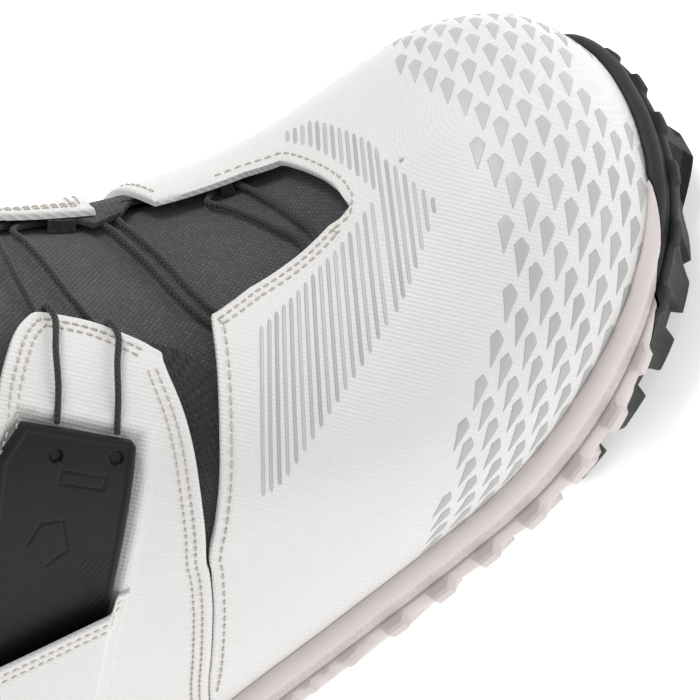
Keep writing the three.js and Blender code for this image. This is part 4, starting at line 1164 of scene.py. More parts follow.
def make_collar_pad():
    """A soft roll inside the top of the cuff: a lens-shaped section carried from one edge of the tongue to
    the other.
    """
    phi = np.linspace(30, 317, 260)
    around = np.linspace(0, 2 * np.pi, 33)[:-1]
    drop = 19.5 - 15.5 * np.cos(around)
    middle, half = -2.95, np.where(drop < 12, 0.9, 0.6)
    proud = np.clip((12 - drop) / 6, 0, 1)
    t = np.stack([collar_line(phi, d)[:, 0] for d in drop], 1)
    height = middle + half * np.sin(around) * 0.95 + proud * (np.sin(around) > 0) * 1.5 * np.sin(around)
    place = at(t, np.broadcast_to(phi[:, None], t.shape), np.broadcast_to(height, t.shape))
    count = place.shape[0] * place.shape[1]
    faces = grid_faces(place.shape[0], place.shape[1], True).tolist()
    faces += [list(range(32))[::-1], list(range(count - 32, count))]
    piece = build("collar_roll", (place.reshape(-1, 3), faces), COLLAR_CLOTH, "cuff",
                  ["collar_pad"], angle=60)


LINER_FLOOR, LINER_WALL = 17.6, 3.8


def liner_skin(t, phi):
    """Height of the inner boot's outside: against the backing, and deeper under the tongue."""
    turn = np.abs((phi + 180) % 360 - 180 + 5)
    dip = (1 - ease((turn - 58) / 22)) * ease((t - 1.7) / 0.7)
    return -3.8 - 3.9 * dip


def sock(name, phi, t_low, t_top, material, replaces, top_round=1.6, wrap=False, rows=200, slot_edges=True):
    """Part of the inner boot: a wall between two heights, flat underfoot, quilted round the shaft, rolled at
    the top.
    """
    share = np.linspace(0, 1, rows)[:, None] ** 0.9
    t = t_low + (t_top - t_low) * share
    angle = np.broadcast_to(phi, t.shape)
    base = liner_skin(t, angle)
    p = skin(t, angle)
    far = edge_distance(p)
    quilt = 0.5 * np.abs(np.sin(p[..., 2] * math.pi / 22)) ** 0.35 * ease((p[..., 2] - 150) / 30) - 0.5
    edge = roll_off(far[1], top_round)
    if slot_edges:
        edge = edge + roll_off(np.minimum(far[2], far[3]), 1.2)
    outer = at(t, angle, base + 0.3 * quilt - edge)
    inner = at(t, angle, base - LINER_WALL - 0.5 * quilt + np.minimum(edge, 1.7))
    outer[..., 2] = np.maximum(outer[..., 2], LINER_FLOOR)
    inner[..., 2] = np.maximum(inner[..., 2], LINER_FLOOR + LINER_WALL)
    shape = two_layers(outer, inner, wrap)
    piece = build(name, shape, material, None, replaces, angle=60)
    bend_at_ankle(piece)


def make_liner():
    phi = np.linspace(16, 338, 210)
    sock("liner_shell", phi, 0.3, collar_line(phi, 2)[:, 0], LINER_CLOTH, ["liner"])
    phi = np.linspace(-21.2, 15.2, 50)
    sock("liner_tongue_padded", phi, 3.2, collar_line(phi, 2)[:, 0], LINER_CLOTH, ["liner_tongue"], rows=160)


# ---- print and pressed chevron ------------------------------------------------------------------
KITE_SEED = (1.569, 49.28)
KITE = np.array([
    (-0.05, 0.0), (-1.9, 1.6), (-1.75, 2.9), (-1.6, 4.5), (-1.45, 6.1), (-1.3, 7.7), (-1.12, 9.4),
    (-0.9, 9.4), (-0.2, 7.9),
    (0.5, 6.3), (1.2, 4.7), (1.9, 3.1), (2.0, 2.5), (1.2, 1.2), (0.35, 0.05),
])
KITE_STEP, KITE_SHIFT = (3.5, 5.9), (6.6, -4.9)  # the two steps of the pattern, right and down
KITE_LIMIT = np.array([
    (-120, 5.2), (-103, 4.74), (-77, 3.5), (-49, 2.6), (-25, 2.32), (-1, 2.12), (16, 2.02), (49, 2.39),
    (77, 3.41), (85, 3.89),
    (103, 4.74), (125, 5.2),
]).T


def march(right, down, steps=36):
    """Places reached by walking straight over the surface from the seed, so far to the right and so far
    down.
    """
    t0, phi0 = KITE_SEED
    start, n = skin(t0, phi0), outward(t0, phi0)
    e_down = unit(-UP + n * (UP @ n))
    e_right = -np.cross(e_down, n)
    if e_right @ RIGHT < 0:
        e_right = -e_right
    heading = right[:, None] * e_right + down[:, None] * e_down
    length = np.linalg.norm(heading, axis=-1, keepdims=True)
    heading = heading / np.maximum(length, 1e-9)
    p = np.broadcast_to(start, heading.shape)
    t, phi = np.full(len(right), t0), np.full(len(right), phi0)
    for _ in range(steps):
        t, phi = settle(p + heading * length / steps, t, phi, 3)
        p, n = skin(t, phi), outward(t, phi)
        heading = unit(heading - n * (heading * n).sum(-1, keepdims=True))
    return t, phi


def make_kites():
    """Raised kite-shaped marks on a slanting lattice over the toe: each a thin plate with a sloping rim."""
    i, j = (k.ravel() for k in np.meshgrid(np.arange(-30, 31), np.arange(-30, 31), indexing="ij"))
    right = i * KITE_STEP[0] + j * KITE_SHIFT[0]
    down = i * KITE_STEP[1] + j * KITE_SHIFT[1]
    keep = np.hypot(right, down) < 125
    right, down = right[keep], down[keep]
    t, phi = march(right, down + 3)
    limit = np.interp(phi, *KITE_LIMIT)
    low = feather_phi(t, 2.0)
    keep = (t < limit) & (t > 0.42) & (np.abs(phi) < low)
    right, down, t, phi = right[keep], down[keep], t[keep], phi[keep]
    centre = KITE.mean(0)
    shares, lifts = (1.0, 0.86, 0.45), (0.0, 0.15, 0.17)
    outline = np.concatenate([*(centre + (KITE - centre) * k for k in shares), centre[None]])
    n = len(KITE)
    lift = np.concatenate([np.repeat(lifts, n), [0.17]])
    a = (right[:, None] + outline[None, :, 0]).ravel()
    b = (down[:, None] + outline[None, :, 1]).ravel()
    points = at(*march(a, b), np.tile(lift, len(right)))
    k = np.arange(n)
    m = (k + 1) % n
    rings = [[x + q * n, y + q * n, y + q * n + n, x + q * n + n] for q in (0, 1) for x, y in zip(k, m)]
    fan = [[x + 2 * n, y + 2 * n, 3 * n] for x, y in zip(k, m)]
    faces = [[v + s * len(outline) for v in face] for s in range(len(right)) for face in rings + fan]
    # Kites darker towards the lateral side: painted shade; scatter is random tone.
    lateral_painted_shade = np.clip((np.abs(phi) - 20) / 75, 0, 1)
    scatter = (np.sin(right * 12.9898 + down * 78.233) * 43758.5453) % 1
    tone = np.repeat(np.clip(0.08 + 0.5 * lateral_painted_shade + 0.25 * scatter, 0, 1), len(outline))
    # rim marks the outer ring of each kite, where its painted shade goes.
    values = {"tone": tone, "rim": np.tile(np.concatenate([np.ones(n), np.zeros(2 * n + 1)]), len(right))}
    build("toe_print", (points, faces), PRINT, "lower_shell", (), values, angle=30,
          weld=False)


def seen_from(direction_right, direction_up, guess_t, guess_phi):
    """Station and angle of the surface point with the given measures along two directions: Newton steps."""
    t, phi = guess_t.copy(), guess_phi.copy()
    for _ in range(14):
        p = skin(t, phi)
        dt, dp = (skin(t + 0.01, phi) - p) * 100, (skin(t, phi + 0.1) - p) * 10
        a, b, c, d = dt @ RIGHT, dp @ RIGHT, dt @ UP, dp @ UP
        ex, ey = direction_right - p @ RIGHT, direction_up - p @ UP
        det = a * d - b * c
        t = np.clip(t + np.clip((ex * d - ey * b) / det, -0.4, 0.4), 0.3, 7)
        phi = np.clip(phi + np.clip((ey * a - ex * c) / det, -12, 12), -50, 110)
    return t, phi


CHEVRON_OUTER = [(-13.5, 107.1), (-7, 111.2), (-1, 113.8), (5, 112), (12.3, 108.7), (20.7, 101.7), (28.8, 93)]
CHEVRON_LOWER = [(28.8, 93), (25, 84), (21.3, 75.2), (10.6, 56.3), (0.5, 40.5), (-8.1, 27), (-12.4, 23.3),
                 (-13.5, 25.2)]
CHEVRON_INNER = [(-13.5, 110.5), (-9.3, 108.7), (-1.4, 106.8), (6.4, 102), (15.5, 94), (6.7, 82.8),
                 (-4, 71.8), (-13.5, 63)]
GROOVE_PITCH = 1.83


def make_grooves():
    """A chevron of parallel pressed grooves: shallow gutters with raised lips, cut off by the chevron's
    outlines.
    """
    outer, lower, inner = (np.array(k) for k in (CHEVRON_OUTER, CHEVRON_LOWER, CHEVRON_INNER))
    profile = np.array([(-0.5, 0.0), (-0.38, 0.13), (-0.24, 0.035), (0.24, 0.035), (0.38, 0.13), (0.5, 0.0)])
    points, faces, tone, rim, start = [], [], [], [], 0
    for k in range(24):
        x = -12.6 + k * GROOVE_PITCH
        lean = 0.155 * np.clip((x + 14) / 30, 0.1, 1)
        if x > 27.8:
            break
        ceiling, floor = np.interp(x, *outer.T), np.interp(x, *lower[::-1].T)
        if x < 15.5:
            split = inner[:5], inner[4:][::-1]
            upper_end, lower_end = np.interp(x, *split[0].T), np.interp(x, *split[1].T)
            spans = [(upper_end, ceiling), (floor, lower_end)]
        else:
            spans = [(floor, ceiling)]
        for low, high in spans:
            if high - low < 1.5:
                continue
            count = max(6, int((high - low) / 1.4))
            s = np.linspace(0, 1, count)
            s = np.concatenate([[0, 0.35 / (high - low)], s[1:-1], [1 - 0.35 / (high - low), 1]])
            v = low + (high - low) * s
            pinch = np.ones(len(s))
            pinch[[0, -1]] = 0.12
            pinch[[1, -2]] = 0.75
            a = x - lean * (v - (low + high) / 2) * 0.8
            right = a[:, None] + profile[None, :, 0] * pinch[:, None]
            up = np.broadcast_to(v[:, None], right.shape)
            t, phi = seen_from(right, up, np.full(right.shape, 3.9), np.full(right.shape, 30.0))
            height = profile[None, :, 1] * np.clip(pinch[:, None] * 1.6 - 0.2, 0, 1)
            points.append(at(t, phi, height).reshape(-1, 3))
            faces.append(grid_faces(len(s), 6) + start)
            start += len(s) * 6
            # Painted shade on each groove's lips and along its floor's edges.
            rim.append(np.tile(np.array([0.0, 0.9, 0.55, 0.0, 0.6, 0.0]), len(s)))
            tone.append(np.full(len(s) * 6, 0.15 + 0.5 * ((k * 7) % 5) / 5))
    values = {"tone": np.concatenate(tone), "rim": np.concatenate(rim)}
    shape = np.concatenate(points), np.concatenate(faces)
    build("pressed_chevron", shape, GROOVE, "lower_shell", (), values, angle=80,
          weld=False)


# ---- stitching ----------------------------------------------------------------------------------
def stitch_row(curve, pitch, height=0.12, length=0.78, radius=0.24, sides=5, stations=6):
    """Stitches along a curve: small rods that rise between two holes, each a ring of points carried over an
    arch.
    """
    p = at(*curve.T, np.full(len(curve), float(height)))
    s = np.concatenate([[0], np.cumsum(np.linalg.norm(np.diff(p, axis=0), axis=-1))])
    count = max(2, int(round(s[-1] / pitch)))
    mid = (np.arange(count) + 0.5) * s[-1] / count
    where = np.stack([np.interp(mid, s, curve[:, k]) for k in range(2)], -1)
    centre = np.stack([np.interp(mid, s, p[:, k]) for k in range(3)], -1)
    direction = np.gradient(p, axis=0)
    along = unit(np.stack([np.interp(mid, s, direction[:, k]) for k in range(3)], -1))
    up = outward(*where.T)
    left = np.cross(up, along)
    reach = np.linspace(-1, 1, stations)
    a = 2 * np.pi * np.arange(sides) / sides
    thick = radius * np.sqrt(np.clip(1.04 - reach**4, 0.04, 1))
    x = np.broadcast_to((reach * length * pitch / 2)[:, None], (stations, sides))
    y = thick[:, None] * np.cos(a)[None] * 1.15
    z = thick[:, None] * np.sin(a)[None] + (0.12 - 0.34 * np.abs(reach) ** 3)[:, None]
    place = centre[:, None, None] + x[..., None] * along[:, None, None] + y[..., None] * left[:, None, None]
    place = place + z[..., None] * up[:, None, None]
    # How near a stitch's end a point lies; the thread's finish paints the hole's shade from it.
    end = np.tile(np.repeat(np.abs(reach), sides), count)
    twist = np.tile((x * 2.2 + np.cos(a)[None] * 0.3).ravel(), count)
    faces = grid_faces(stations, sides, True)
    faces = (faces[None] + (np.arange(count) * stations * sides)[:, None, None]).reshape(-1, 4)
    return place.reshape(-1, 3), faces, end, twist


def sew_made(name, made, material, body):
    """Rows of stitches that are already made, as one piece."""
    start = np.concatenate([[0], np.cumsum([len(m[0]) for m in made])[:-1]])
    shape = np.concatenate([m[0] for m in made]), np.concatenate([m[1] + k for m, k in zip(made, start)])
    values = {"end": np.concatenate([m[2] for m in made]), "twist": np.concatenate([m[3] for m in made])}
    build(name, shape, material, body, (), values, angle=80, weld=False)


def sew(name, rows, material, body):
    """All the rows of one seam as one piece; a row is (curve, pitch, height)."""
    sew_made(name, [stitch_row(*row) for row in rows], material, body)


def sew_lower():
    lateral = run(THROAT[LATERAL], 160)
    medial = run(THROAT[MEDIAL], 160)
    rows = []
    inside = offset(lateral, 2.4)
    outside = offset(lateral, 4.3)
    rows += [(inside[24:], 2.4, 0.1), (outside[22:], 2.4, 0.1)]
    rows += [(run(np.stack([inside[24], outside[22]]), 12), 1.7, 0.1),
             (run(np.stack([inside[-1], outside[-1]]), 12), 1.7, 0.1)]
    around = np.concatenate([offset(medial, -2.4)[::-1][40:], inside[6:30]])
    rows.append((run(curved(around[::6]), 200), 2.6, 0.1))
    for side in (LATERAL, MEDIAL):
        corner = THROAT[side][-1]
        edge = run(curved([corner, *[(t, side * a) for t, a in V_FRONT if a > abs(corner[1]) + 3]]), 200)
        rows.append((offset(edge, STITCH_IN * side)[6:], 3.1, 0.1))
        front, rear, top, _ = quarter_outline(side)
        above = skin(*front.T)[:, 2] > 30
        for k in range(2):
            rows.append((offset(front[above], -side * (STITCH_IN + k * STITCH_GAP))[3:], 2.3, 0.12))
            rows.append((offset(top, side * (STITCH_IN + k * STITCH_GAP))[3:-4], 2.3, 0.12))
        rear_edge = rear[skin(*rear.T)[:, 2] > 30]
        rows.append((offset(rear_edge, side * STITCH_IN)[3:], 2.6, 0.12))
    sew("lower_stitching", rows, THREAD, "lower_shell")


def sew_cuff():
    rows = []
    for side in (LATERAL, MEDIAL):
        front, _, bottom, top = cuff_outline(side)
        for k in range(2):
            rows.append((offset(front, side * (STITCH_IN + k * STITCH_GAP))[4:-4], 2.4, 0.12))
        rows.append((offset(bottom, -side * STITCH_IN)[4:-4], 2.4, 0.12))
        rows.append((offset(top, side * STITCH_IN)[4:-4], 2.4, 0.12))
    sew("cuff_stitching", rows, THREAD, "cuff")
    t = np.linspace(11.05, 12.5, 90)
    spine = []
    for sign in (1, -1):
        edge = np.stack([t, 180 + sign * (back_angle(t, -SPINE + 2.6) - 180)], -1)
        spine.append((edge, 2.4, 0.6))
    sew("backstay_stitching", spine, WHITE_THREAD, "cuff")


# ---- laces --------------------------------------------------------------------------------------
LACE_RADIUS, LACE_DEPTH, GAP = 0.75, 3.9, 0.3
ROWS = {
    "lower": [((6.12, 5.7), (6.2, 6.07)), ((4.76, 4.88), (5.17, 5.3)), ((3.87, 3.75), (4.46, 4.1))],
    "upper": [((12.1, 11.7), (11.72, 11.57)), ((10.2, 10.35), (10.5, 10.65)), ((9.2, 9.05), (8.95, 8.5))],
}
PASS_INNER, PASS_OUTER, PASS_TURN = 4.4, 8.5, 0.16


def behind_edge(end, t, behind):
    """The angle so many degrees behind the throat's lateral (0) or medial (1) edge at station t."""
    edge, away = ((LATERAL_EDGE, 1), (MEDIAL_EDGE, -1))[end]
    return float(np.interp(t, *edge)) + away * behind


def strand(rows, which):
    """Station, angle and depth of one strand: over the tongue from edge to edge, and round behind each edge.
    """
    route = [(rows[0][0][which], behind_edge(0, rows[0][0][which], -2.2), -1.2)]
    for k, row in enumerate(rows):
        start, stop = (k % 2, 1 - k % 2)
        outer = (k % 2 == 0) == (which == 0)
        t0, t1 = row[start][which], row[stop][which]
        for part in (0, 0.25, 0.5, 0.75, 1):
            phi = behind_edge(start, t0, -3.5) * (1 - part) + behind_edge(stop, t1, -1.5) * part
            route.append((t0 + (t1 - t0) * part, phi, -LACE_DEPTH))
        if k + 1 == len(rows):
            break
        after = rows[k + 1][stop][which]
        turn = math.copysign(PASS_TURN, after - t1)
        for t in (t1 + turn, (t1 + after) / 2, after - turn):
            route.append((t, behind_edge(stop, t, PASS_OUTER if outer else PASS_INNER), -LACE_DEPTH))
    return route


def make_lace(name, body):
    rows = ROWS[name]
    t = sum(rows[-1][1]) / 2
    bend = (t, behind_edge(1, t, PASS_INNER + 1), -LACE_DEPTH)
    route = np.array([*strand(rows, 0), bend, *strand(rows, 1)[::-1]])
    points, ups, _ = smooth_path(at(*route.T), outward(*route.T[:2]), 900)
    shape, lay = tube(points, ups, LACE_RADIUS + 0.05, 12)
    build(f"{name}_lace_braided", shape, CORD, body, [f"{name}_lace"], {"lay": lay}, angle=80)


def make_pull_cords(name):
    """The two runs from the throat's edge over the panel into the handle's holes.
    """
    inner = FACE[name] - HANDLE_THICK
    over = LACE_RADIUS + 3 * GAP
    for which, label in enumerate(("rear", "front")):
        x = CORD_HOLES[which]
        ts, phis = under(name, np.array([x, x]), top_at(x) + np.array([7, 2 * GAP]))
        t0 = ROWS[name][0][0][which]
        a0 = behind_edge(0, t0, 2.5)
        route = np.array([
            (t0, behind_edge(0, t0, -2), 0.7), (t0, a0, over),
            ((t0 + ts[0]) / 2, (a0 + phis[0]) / 2, over + 0.2),
            (ts[0], phis[0], over), (ts[1], phis[1], inner + HANDLE_THICK / 2),
        ])
        start = at(*strand(ROWS[name], which)[0])
        points = np.concatenate([[start], at(*route.T)])
        ups = np.concatenate([outward(*route.T[:2])[:1], outward(*route.T[:2])])
        points, ups, _ = smooth_path(points, ups, 150)
        shape, lay = tube(points, ups, LACE_RADIUS + 0.05, 12)
        node = f"{name}_pull_cord_{label}"
        piece = build(node + "_braided", shape, CORD, None, [node], {"lay": lay}, angle=80)
        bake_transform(piece)


# ---- handles and their pockets ------------------------------------------------------------------
def plate_rows(rows, columns):
    """x and y over the handle: each row runs from its rear to its front edge, which draw in at the cut
    corners.
    """
    share = np.linspace(0, 1, rows)[:, None]
    y_rear, y_front = (BOTTOM + (top_at(x) - BOTTOM) * share for x in (REAR, FRONT))
    low = np.maximum(BEVEL - (y_rear - BOTTOM), 0)
    rear = REAR + np.maximum((y_rear - top_at(REAR) + CUT_DOWN) * CUT / CUT_DOWN, 0) + low
    front = FRONT - low - np.maximum(1 - (top_at(FRONT) - y_front), 0)
    x = rear + (front - rear) * np.linspace(0, 1, columns)[None]
    return x, BOTTOM + (top_at(x) - BOTTOM) * share


def stroke(x, y, points, width):
    """1 on a closed line through the points, falling to 0 over its width."""
    near = np.full(x.shape, 1e9)
    for (ax, ay), (bx, by) in zip(points, points[1:] + points[:1]):
        dx, dy = bx - ax, by - ay
        f = np.clip(((x - ax) * dx + (y - ay) * dy) / (dx * dx + dy * dy), 0, 1)
        near = np.minimum(near, np.hypot(x - ax - f * dx, y - ay - f * dy))
    return ease(1 - near / width)


ARROW = [(-10.8, 3.0), (-8.2, 9.5), (-3.2, 10.4), (-0.8, 2.0), (-5.2, -2.4), (-8.6, 0.2)]
BADGE = [(-5.2, 20.2), (5.4, 19.2), (5.7, 22.4), (-4.9, 23.4)]


def make_handle(name, body):
    """Plastic pull: follows the boot's curve, with rolled edges, a sunk outline and a ribbed grip."""
    x, y = plate_rows(240, 104)
    t, phi = under(name, x, y)
    face = FACE[name]
    edge = np.min(edge_distance(skin(t, phi)), axis=0)
    ribbed = ease((x + y * 0.25 - 1.0) / 2) * ease((2 - y) / 3) * ease((edge - 1.6) / 0.6)
    ribs = 0.16 * (0.5 + 0.5 * np.sin((x - 0.55 * y) * 2 * math.pi / 1.5)) * ribbed
    plate = 0.35 * ease((edge - 1.5) / 0.5)
    lines = 0.3 * np.maximum(stroke(x, y, ARROW, 0.5), stroke(x, y, BADGE, 0.5))
    holes = sum(1.2 * ease(1 - (np.hypot(x - k, y - HOLE_Y) - 1.2) / 0.6) for k in CORD_HOLES)
    top = face - roll_off(edge, 1.0) - plate + ribs - lines - holes
    low = face - HANDLE_THICK + roll_off(edge, 0.6)
    shape = two_layers(at(t, phi, top), at(t, phi, low))
    build(f"{name}_handle_moulded", shape, PLASTIC, body, [f"{name}_handle"], angle=40)


def make_pocket(name, body):
    """Padded synthetic pocket over the lower end of the handle: low round three sides, with a slanting open
    lip.
    """
    rear, front, bottom = REAR - 4.7, FRONT + 4.7, BOTTOM - 4.7
    lean = math.cos(math.atan(0.62))

    def heights(x, y):
        """Outer height, its share of the rise, and the crown: the rim is low, and a seam is sunk along the
        lip.
        """
        rim = np.minimum(np.minimum(x - rear, front - x), y - bottom)
        lip = (mouth_at(x) - y) * lean
        rise = ease((rim - 2.2) / 3.6)
        crown = POCKET_TOP[name] * (0.93 + 0.07 * np.cos((x + 4) / 13))
        top = 1.3 + (crown - 1.3) * rise
        for d in (1.9, 3.8):
            top = top - 0.18 * np.exp(-(((lip - d) / 0.5) ** 2))
        return top - roll_off(rim, 0.7) - roll_off(lip, 0.7), rise, crown

    x = np.broadcast_to(np.linspace(rear, front, 120)[None], (110, 120))
    y = bottom + (mouth_at(x) - bottom) * np.linspace(0, 1, 110)[:, None]
    t, phi = under(name, x, y)
    top, rise, crown = heights(x, y)
    hollow = np.maximum(GAP, crown - 1.1) * rise + GAP * (1 - rise)
    shape = two_layers(at(t, phi, top), at(t, phi, np.minimum(hollow, top - 0.25)))
    build(f"{name}_pocket_panel", shape, WHITE, body, [f"{name}_pocket"], angle=60)
    made = []
    for d in (1.9, 3.8):
        x = np.linspace(rear + 1.5, front - 1.5, 90)
        y = mouth_at(x) - d / lean
        made.append(stitch_row_at(np.stack(under(name, x, y), -1), heights(x, y)[0]))
    sew_made(f"{name}_pocket_stitching", made, THREAD, body)


def stitch_row_at(curve, heights, pitch=2.4):
    """A stitch row whose height changes along it: straight pieces short enough to follow the rise."""
    points, *rest = stitch_row(curve, pitch, 0.0)
    nearest = ((points[:, None] - at(*curve.T)[None]) ** 2).sum(-1).argmin(1)
    return points + outward(*curve[nearest].T) * heights[nearest][:, None], *rest


# ---- webbing loops ------------------------------------------------------------------------------
def make_loop(name, route, half, thickness, body, node):
    """A flat strap along a curve in side view, its edges rounded: a flat oval section carried along."""
    points, ups, _ = smooth_path(at(*route.T), np.tile([0.0, 1.0, 0.0], (len(route), 1)), 90)
    along = unit(np.gradient(points, axis=0))
    across = np.tile([0.0, 1.0, 0.0], (len(points), 1))
    normal = unit(np.cross(across, along))
    a = 2 * np.pi * np.arange(40) / 40
    flat = np.sign(np.cos(a)) * np.abs(np.cos(a)) ** 0.35 * half
    tall = np.sign(np.sin(a)) * np.abs(np.sin(a)) ** 0.7 * thickness / 2
    ring = across[:, None] * flat[None, :, None] + normal[:, None] * tall[None, :, None]
    place = points[:, None] + ring
    count = place.shape[0] * 40
    faces = grid_faces(len(points), 40, True).tolist() + [list(range(40))[::-1],
                                                          list(range(count - 40, count))]
    piece = build(name, (place.reshape(-1, 3), faces), WEBBING, body, [node], angle=60)
    return piece


def make_loops():
    reach = 12
    back = [(t, 180, 1.4 + reach * k) for t, k in zip((12.45, 12.5, 12.63, 12.76, 12.82),
                                                      (0, 0.6, 1, 0.6, 0))]
    make_loop("heel_loop_strap", np.array(back), 7.4, 1.7, "cuff", "heel_loop")
    front = [(t, -1, -4.4 + reach * k) for t, k in zip((12.1, 12.2, 12.45, 12.7, 12.8),
                                                       (0, 0.45, 0.8, 0.45, 0))]
    make_loop("tongue_loop_strap", np.array(front), 7.4, 1.7, body_of_tongue_loop, "tongue_loop")


body_of_tongue_loop = next(b for b, names in frame["record"]["behaviour"]["bodies"].items() if "tongue_loop" in names)

# ---- sole ---------------------------------------------------------------------------------------
SOLE_BASE, LUG_PITCH = 4.0, 18.0
TOE_POINT = np.array([143.0, -14, 36])
TOE_ACROSS, TOE_DOWN = np.array([112.0, 52, 30]), np.array([118.0, -46, 20])


def feather_loop(count):
    """The line where the upper meets the sole, once round, lateral side first, at equal steps."""
    t = np.concatenate([np.linspace(0.36, 3, 120), np.linspace(3, 9.2, 160)[1:]])
    angle = feather_phi(t)
    t, angle = t[angle < 179.6], angle[angle < 179.6]
    lateral, medial = skin(t, angle), skin(t, -angle)
    line = np.concatenate([lateral, medial[::-1]])
    for _ in range(3):
        line = 0.25 * np.roll(line, 1, 0) + 0.5 * line + 0.25 * np.roll(line, -1, 0)
    line = np.concatenate([line, line[:1]])
    s = np.concatenate([[0], np.cumsum(np.linalg.norm(np.diff(line, axis=0), axis=-1))])
    want = np.linspace(0, s[-1], count + 1)[:-1]
    return np.stack([np.interp(want, s, line[:, k]) for k in range(3)], -1), want, s[-1]


def teeth(s, whole, pitch, low, high):
    """1 on a tooth and 0 between: a trapezium repeated round the sole a whole number of times."""
    wave = (s * round(whole / pitch) / whole) % 1
    return ease((wave - low) / 0.08) * ease((high - wave) / 0.08)


SIDEWALL = [
    # out from the feather line, level under it, roughened, share of the teeth
    (-9.0, -1.2, 0, 0), (-3.0, -0.2, 0, 0), (0.35, 0.9, 0, 0), (0.9, 1.15, 0, 0), (1.7, 1.0, 0, 0),
    (2.4, 0.3, 0, 0),
    (2.9, -0.8, 0, 0), (3.1, -2.1, 0, 0), (3.0, -3.4, 0, 0), (2.6, -4.4, 0, 0), (2.0, -4.8, 0.6, 0),
    (1.9, -5.1, 1, 0),
    (1.8, -6.1, 1, 0), (1.7, -7.1, 1, 0), (1.65, -7.9, 1, 0), (1.0, -8.15, 0, 0), (1.0, -8.45, 0, 0),
    (1.9, -8.75, 0, 0.2),
    (2.2, -9.2, 0, 0.8), (2.3, -10.0, 0, 1), (2.2, -11.4, 0, 1), (1.9, -12.4, 0, 1), (1.3, -13.0, 0, 0.8),
]


def sole_shape():
    """Cup sole: a sidewall profile carried round the feather line with teeth on its lower band, a bevel that draws in
    to the tread, and under it two rings of lugs, where the height steps between the lugs' faces and the base."""
    count = 1000
    line, s, whole = feather_loop(count)
    along = np.roll(line, -3, 0) - np.roll(line, 3, 0)
    out = unit(np.stack([-along[:, 1], along[:, 0], np.zeros(count)], -1))
    centre = line.mean(0)
    out *= np.sign(((line - centre) * out).sum(-1))[:, None]
    x, top = line[:, 0], line[:, 2]
    arch = np.exp(-(((x + 20) / 34) ** 4))
    toe = ease((x - 95) / 40)
    tooth = 2.6 * teeth(s, whole, 15.0, 0.2, 0.68) * (1 - arch) * (1 - 0.5 * toe)
    tooth += 0.9 * teeth(s, whole, 6.4, 0.1, 0.55) * arch
    thin = 1 - 0.3 * toe  # the sidewall is lower round the toe
    lug = teeth(s, whole, LUG_PITCH, 0.1, 0.82)
    spine = np.clip(np.abs(line[:, 1] - line_centre(x)) - 3, 2, None)
    rings, band = [], []
    for reach, level, roughened, share in SIDEWALL:
        p = line + out * (reach + share * tooth)[:, None]
        p[:, 2] = top + level * (thin if level < 0 else 1)
        rings.append(p)
        band.append(np.full(count, float(roughened)))
    for f in np.linspace(0, 1, 11)[1:]:
        p = line + out * np.maximum(1.3 - 12.8 * f + 0.8 * tooth * (1 - f), -spine)[:, None]
        p[:, 2] = (top - 13 * thin) * (1 - f) + (SOLE_BASE * (1 - lug) + spring_at(p[:, 0])) * f
        rings.append(p)
        band.append(np.zeros(count))
    for d in np.linspace(-12, -38, 40):
        p = line + out * np.maximum(d, -spine)[:, None]
        inner = teeth(p[:, 0] + 200, 4 * LUG_PITCH, LUG_PITCH, 0.1, 0.82) * ease(-30.5 - d)
        p[:, 2] = SOLE_BASE * (1 - np.clip(lug * ease(d + 28.5) + inner, 0, 1)) + spring_at(p[:, 0])
        rings.append(p)
        band.append(np.zeros(count))
    hub = np.stack([x * 0.92, line_centre(x), spring_at(x * 0.92) + SOLE_BASE], -1)
    roof_hub, roof = hub.copy(), rings[0].copy()
    roof[:, :2] = roof[:, :2] * 0.9 + 0.1 * centre[:2]
    roof_hub[:, 2] = roof[:, 2] = 13.0 + spring_at(x)
    rings = [roof_hub, roof, *rings, hub]
    band = [np.zeros(count), np.zeros(count), *band, np.zeros(count)]
    return (np.concatenate(rings), grid_faces(len(rings), count, True)), np.concatenate(band)


def line_centre(x):
    """The sole's middle line in y."""
    return np.interp(x, [-150, -60, 0, 76, 101, 125, 149], [0, 0, 0, 0, 3, 6, 10])


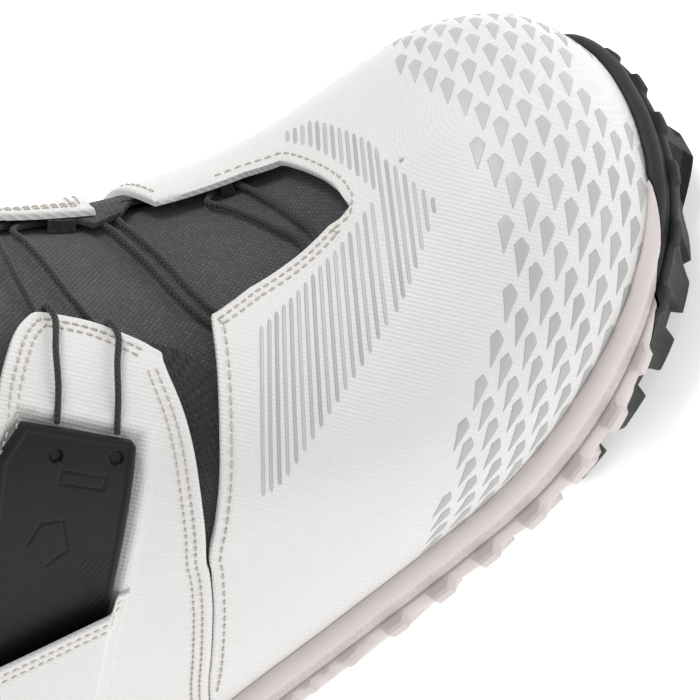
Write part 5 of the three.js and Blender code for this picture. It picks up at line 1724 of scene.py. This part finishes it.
def make_sole():
    shape, band = sole_shape()
    normal = np.cross(TOE_ACROSS - TOE_POINT, TOE_DOWN - TOE_POINT)
    normal = unit(normal * np.sign(normal[0]))
    for name, keep_front, material, slot, node in (
        ("outsole_moulded", False, SOLE_RUBBER, "sole_rubber", "outsole"),
        ("toe_bumper_moulded", True, BLACK_RUBBER, "black_rubber", "toe_bumper"),
    ):
        piece = build(name, shape, material, "lower_shell", [node], {"band": band}, angle=35)
        edit = bmesh.new()
        edit.from_mesh(piece.data)
        cut = (TOE_POINT + normal * (0.0 if keep_front else -GAP)) * MM
        everything = edit.verts[:] + edit.edges[:] + edit.faces[:]
        made = bmesh.ops.bisect_plane(
            edit, geom=everything, plane_co=cut, plane_no=normal, clear_outer=not keep_front,
            clear_inner=keep_front, dist=1e-7
        )
        rim = [e for e in made["geom_cut"] if isinstance(e, bmesh.types.BMEdge)]
        bmesh.ops.triangle_fill(edit, use_beauty=True, edges=rim)
        bmesh.ops.recalc_face_normals(edit, faces=edit.faces)
        edit.to_mesh(piece.data)
        edit.free()
        piece.data.set_sharp_from_angle(angle=math.radians(35))


# ---- build --------------------------------------------------------------------------------------
make_vamp()
make_quarter(LATERAL)
make_quarter(MEDIAL)
make_heel_cup()
make_cuff(LATERAL)
make_cuff(MEDIAL)
make_backstay()
make_vee(LATERAL)
make_vee(MEDIAL)
make_ankle_gusset()
make_tongue()
make_collar_pad()
make_liner()
make_kites()
make_grooves()
sew_lower()
sew_cuff()
make_lace("lower", "lower_shell")
make_lace("upper", "cuff")
make_pull_cords("lower")
make_pull_cords("upper")
make_handle("lower", "lower_pull")
make_handle("upper", "upper_pull")
make_pocket("lower", "lower_shell")
make_pocket("upper", "cuff")
make_loops()
make_sole()

CARRIED_OVER = {
    "toe_puff": STIFFENER, "heel_counter": STIFFENER, "lasting_board": BOARD, "midsole": FOAM,
    "footbed": FOOTBED_CLOTH,
    **{f"{zone}_lace_guide_{k}": WEBBING for zone in ("lower", "upper") for k in (1, 2, 3)},
}
for node, material in CARRIED_OVER.items():
    mesh = frame["nodes"][node].data
    mesh.materials.clear()
    mesh.materials.append(material)


def make_floor():
    mesh = bpy.data.meshes.new("floor")
    reach = 3.0
    mesh.from_pydata([(-reach, -reach, 0), (reach, -reach, 0), (reach, reach, 0), (-reach, reach, 0)], [],
                     [(0, 1, 2, 3)])
    finish = Finish("floor_paint", (0.95, 0.95, 0.95), 0.8, Emission_Strength=0.55)
    finish.shader.inputs["Emission Color"].default_value = (1, 1, 1, 1)
    cloud = noise(finish.tree, finish.place, 3.0, 2.0)
    finish.rough(cloud, 0.75, 0.85)
    mesh.materials.append(finish.material)
    floor = bpy.data.objects.new("floor", mesh)
    scene.collection.objects.link(floor)


make_floor()
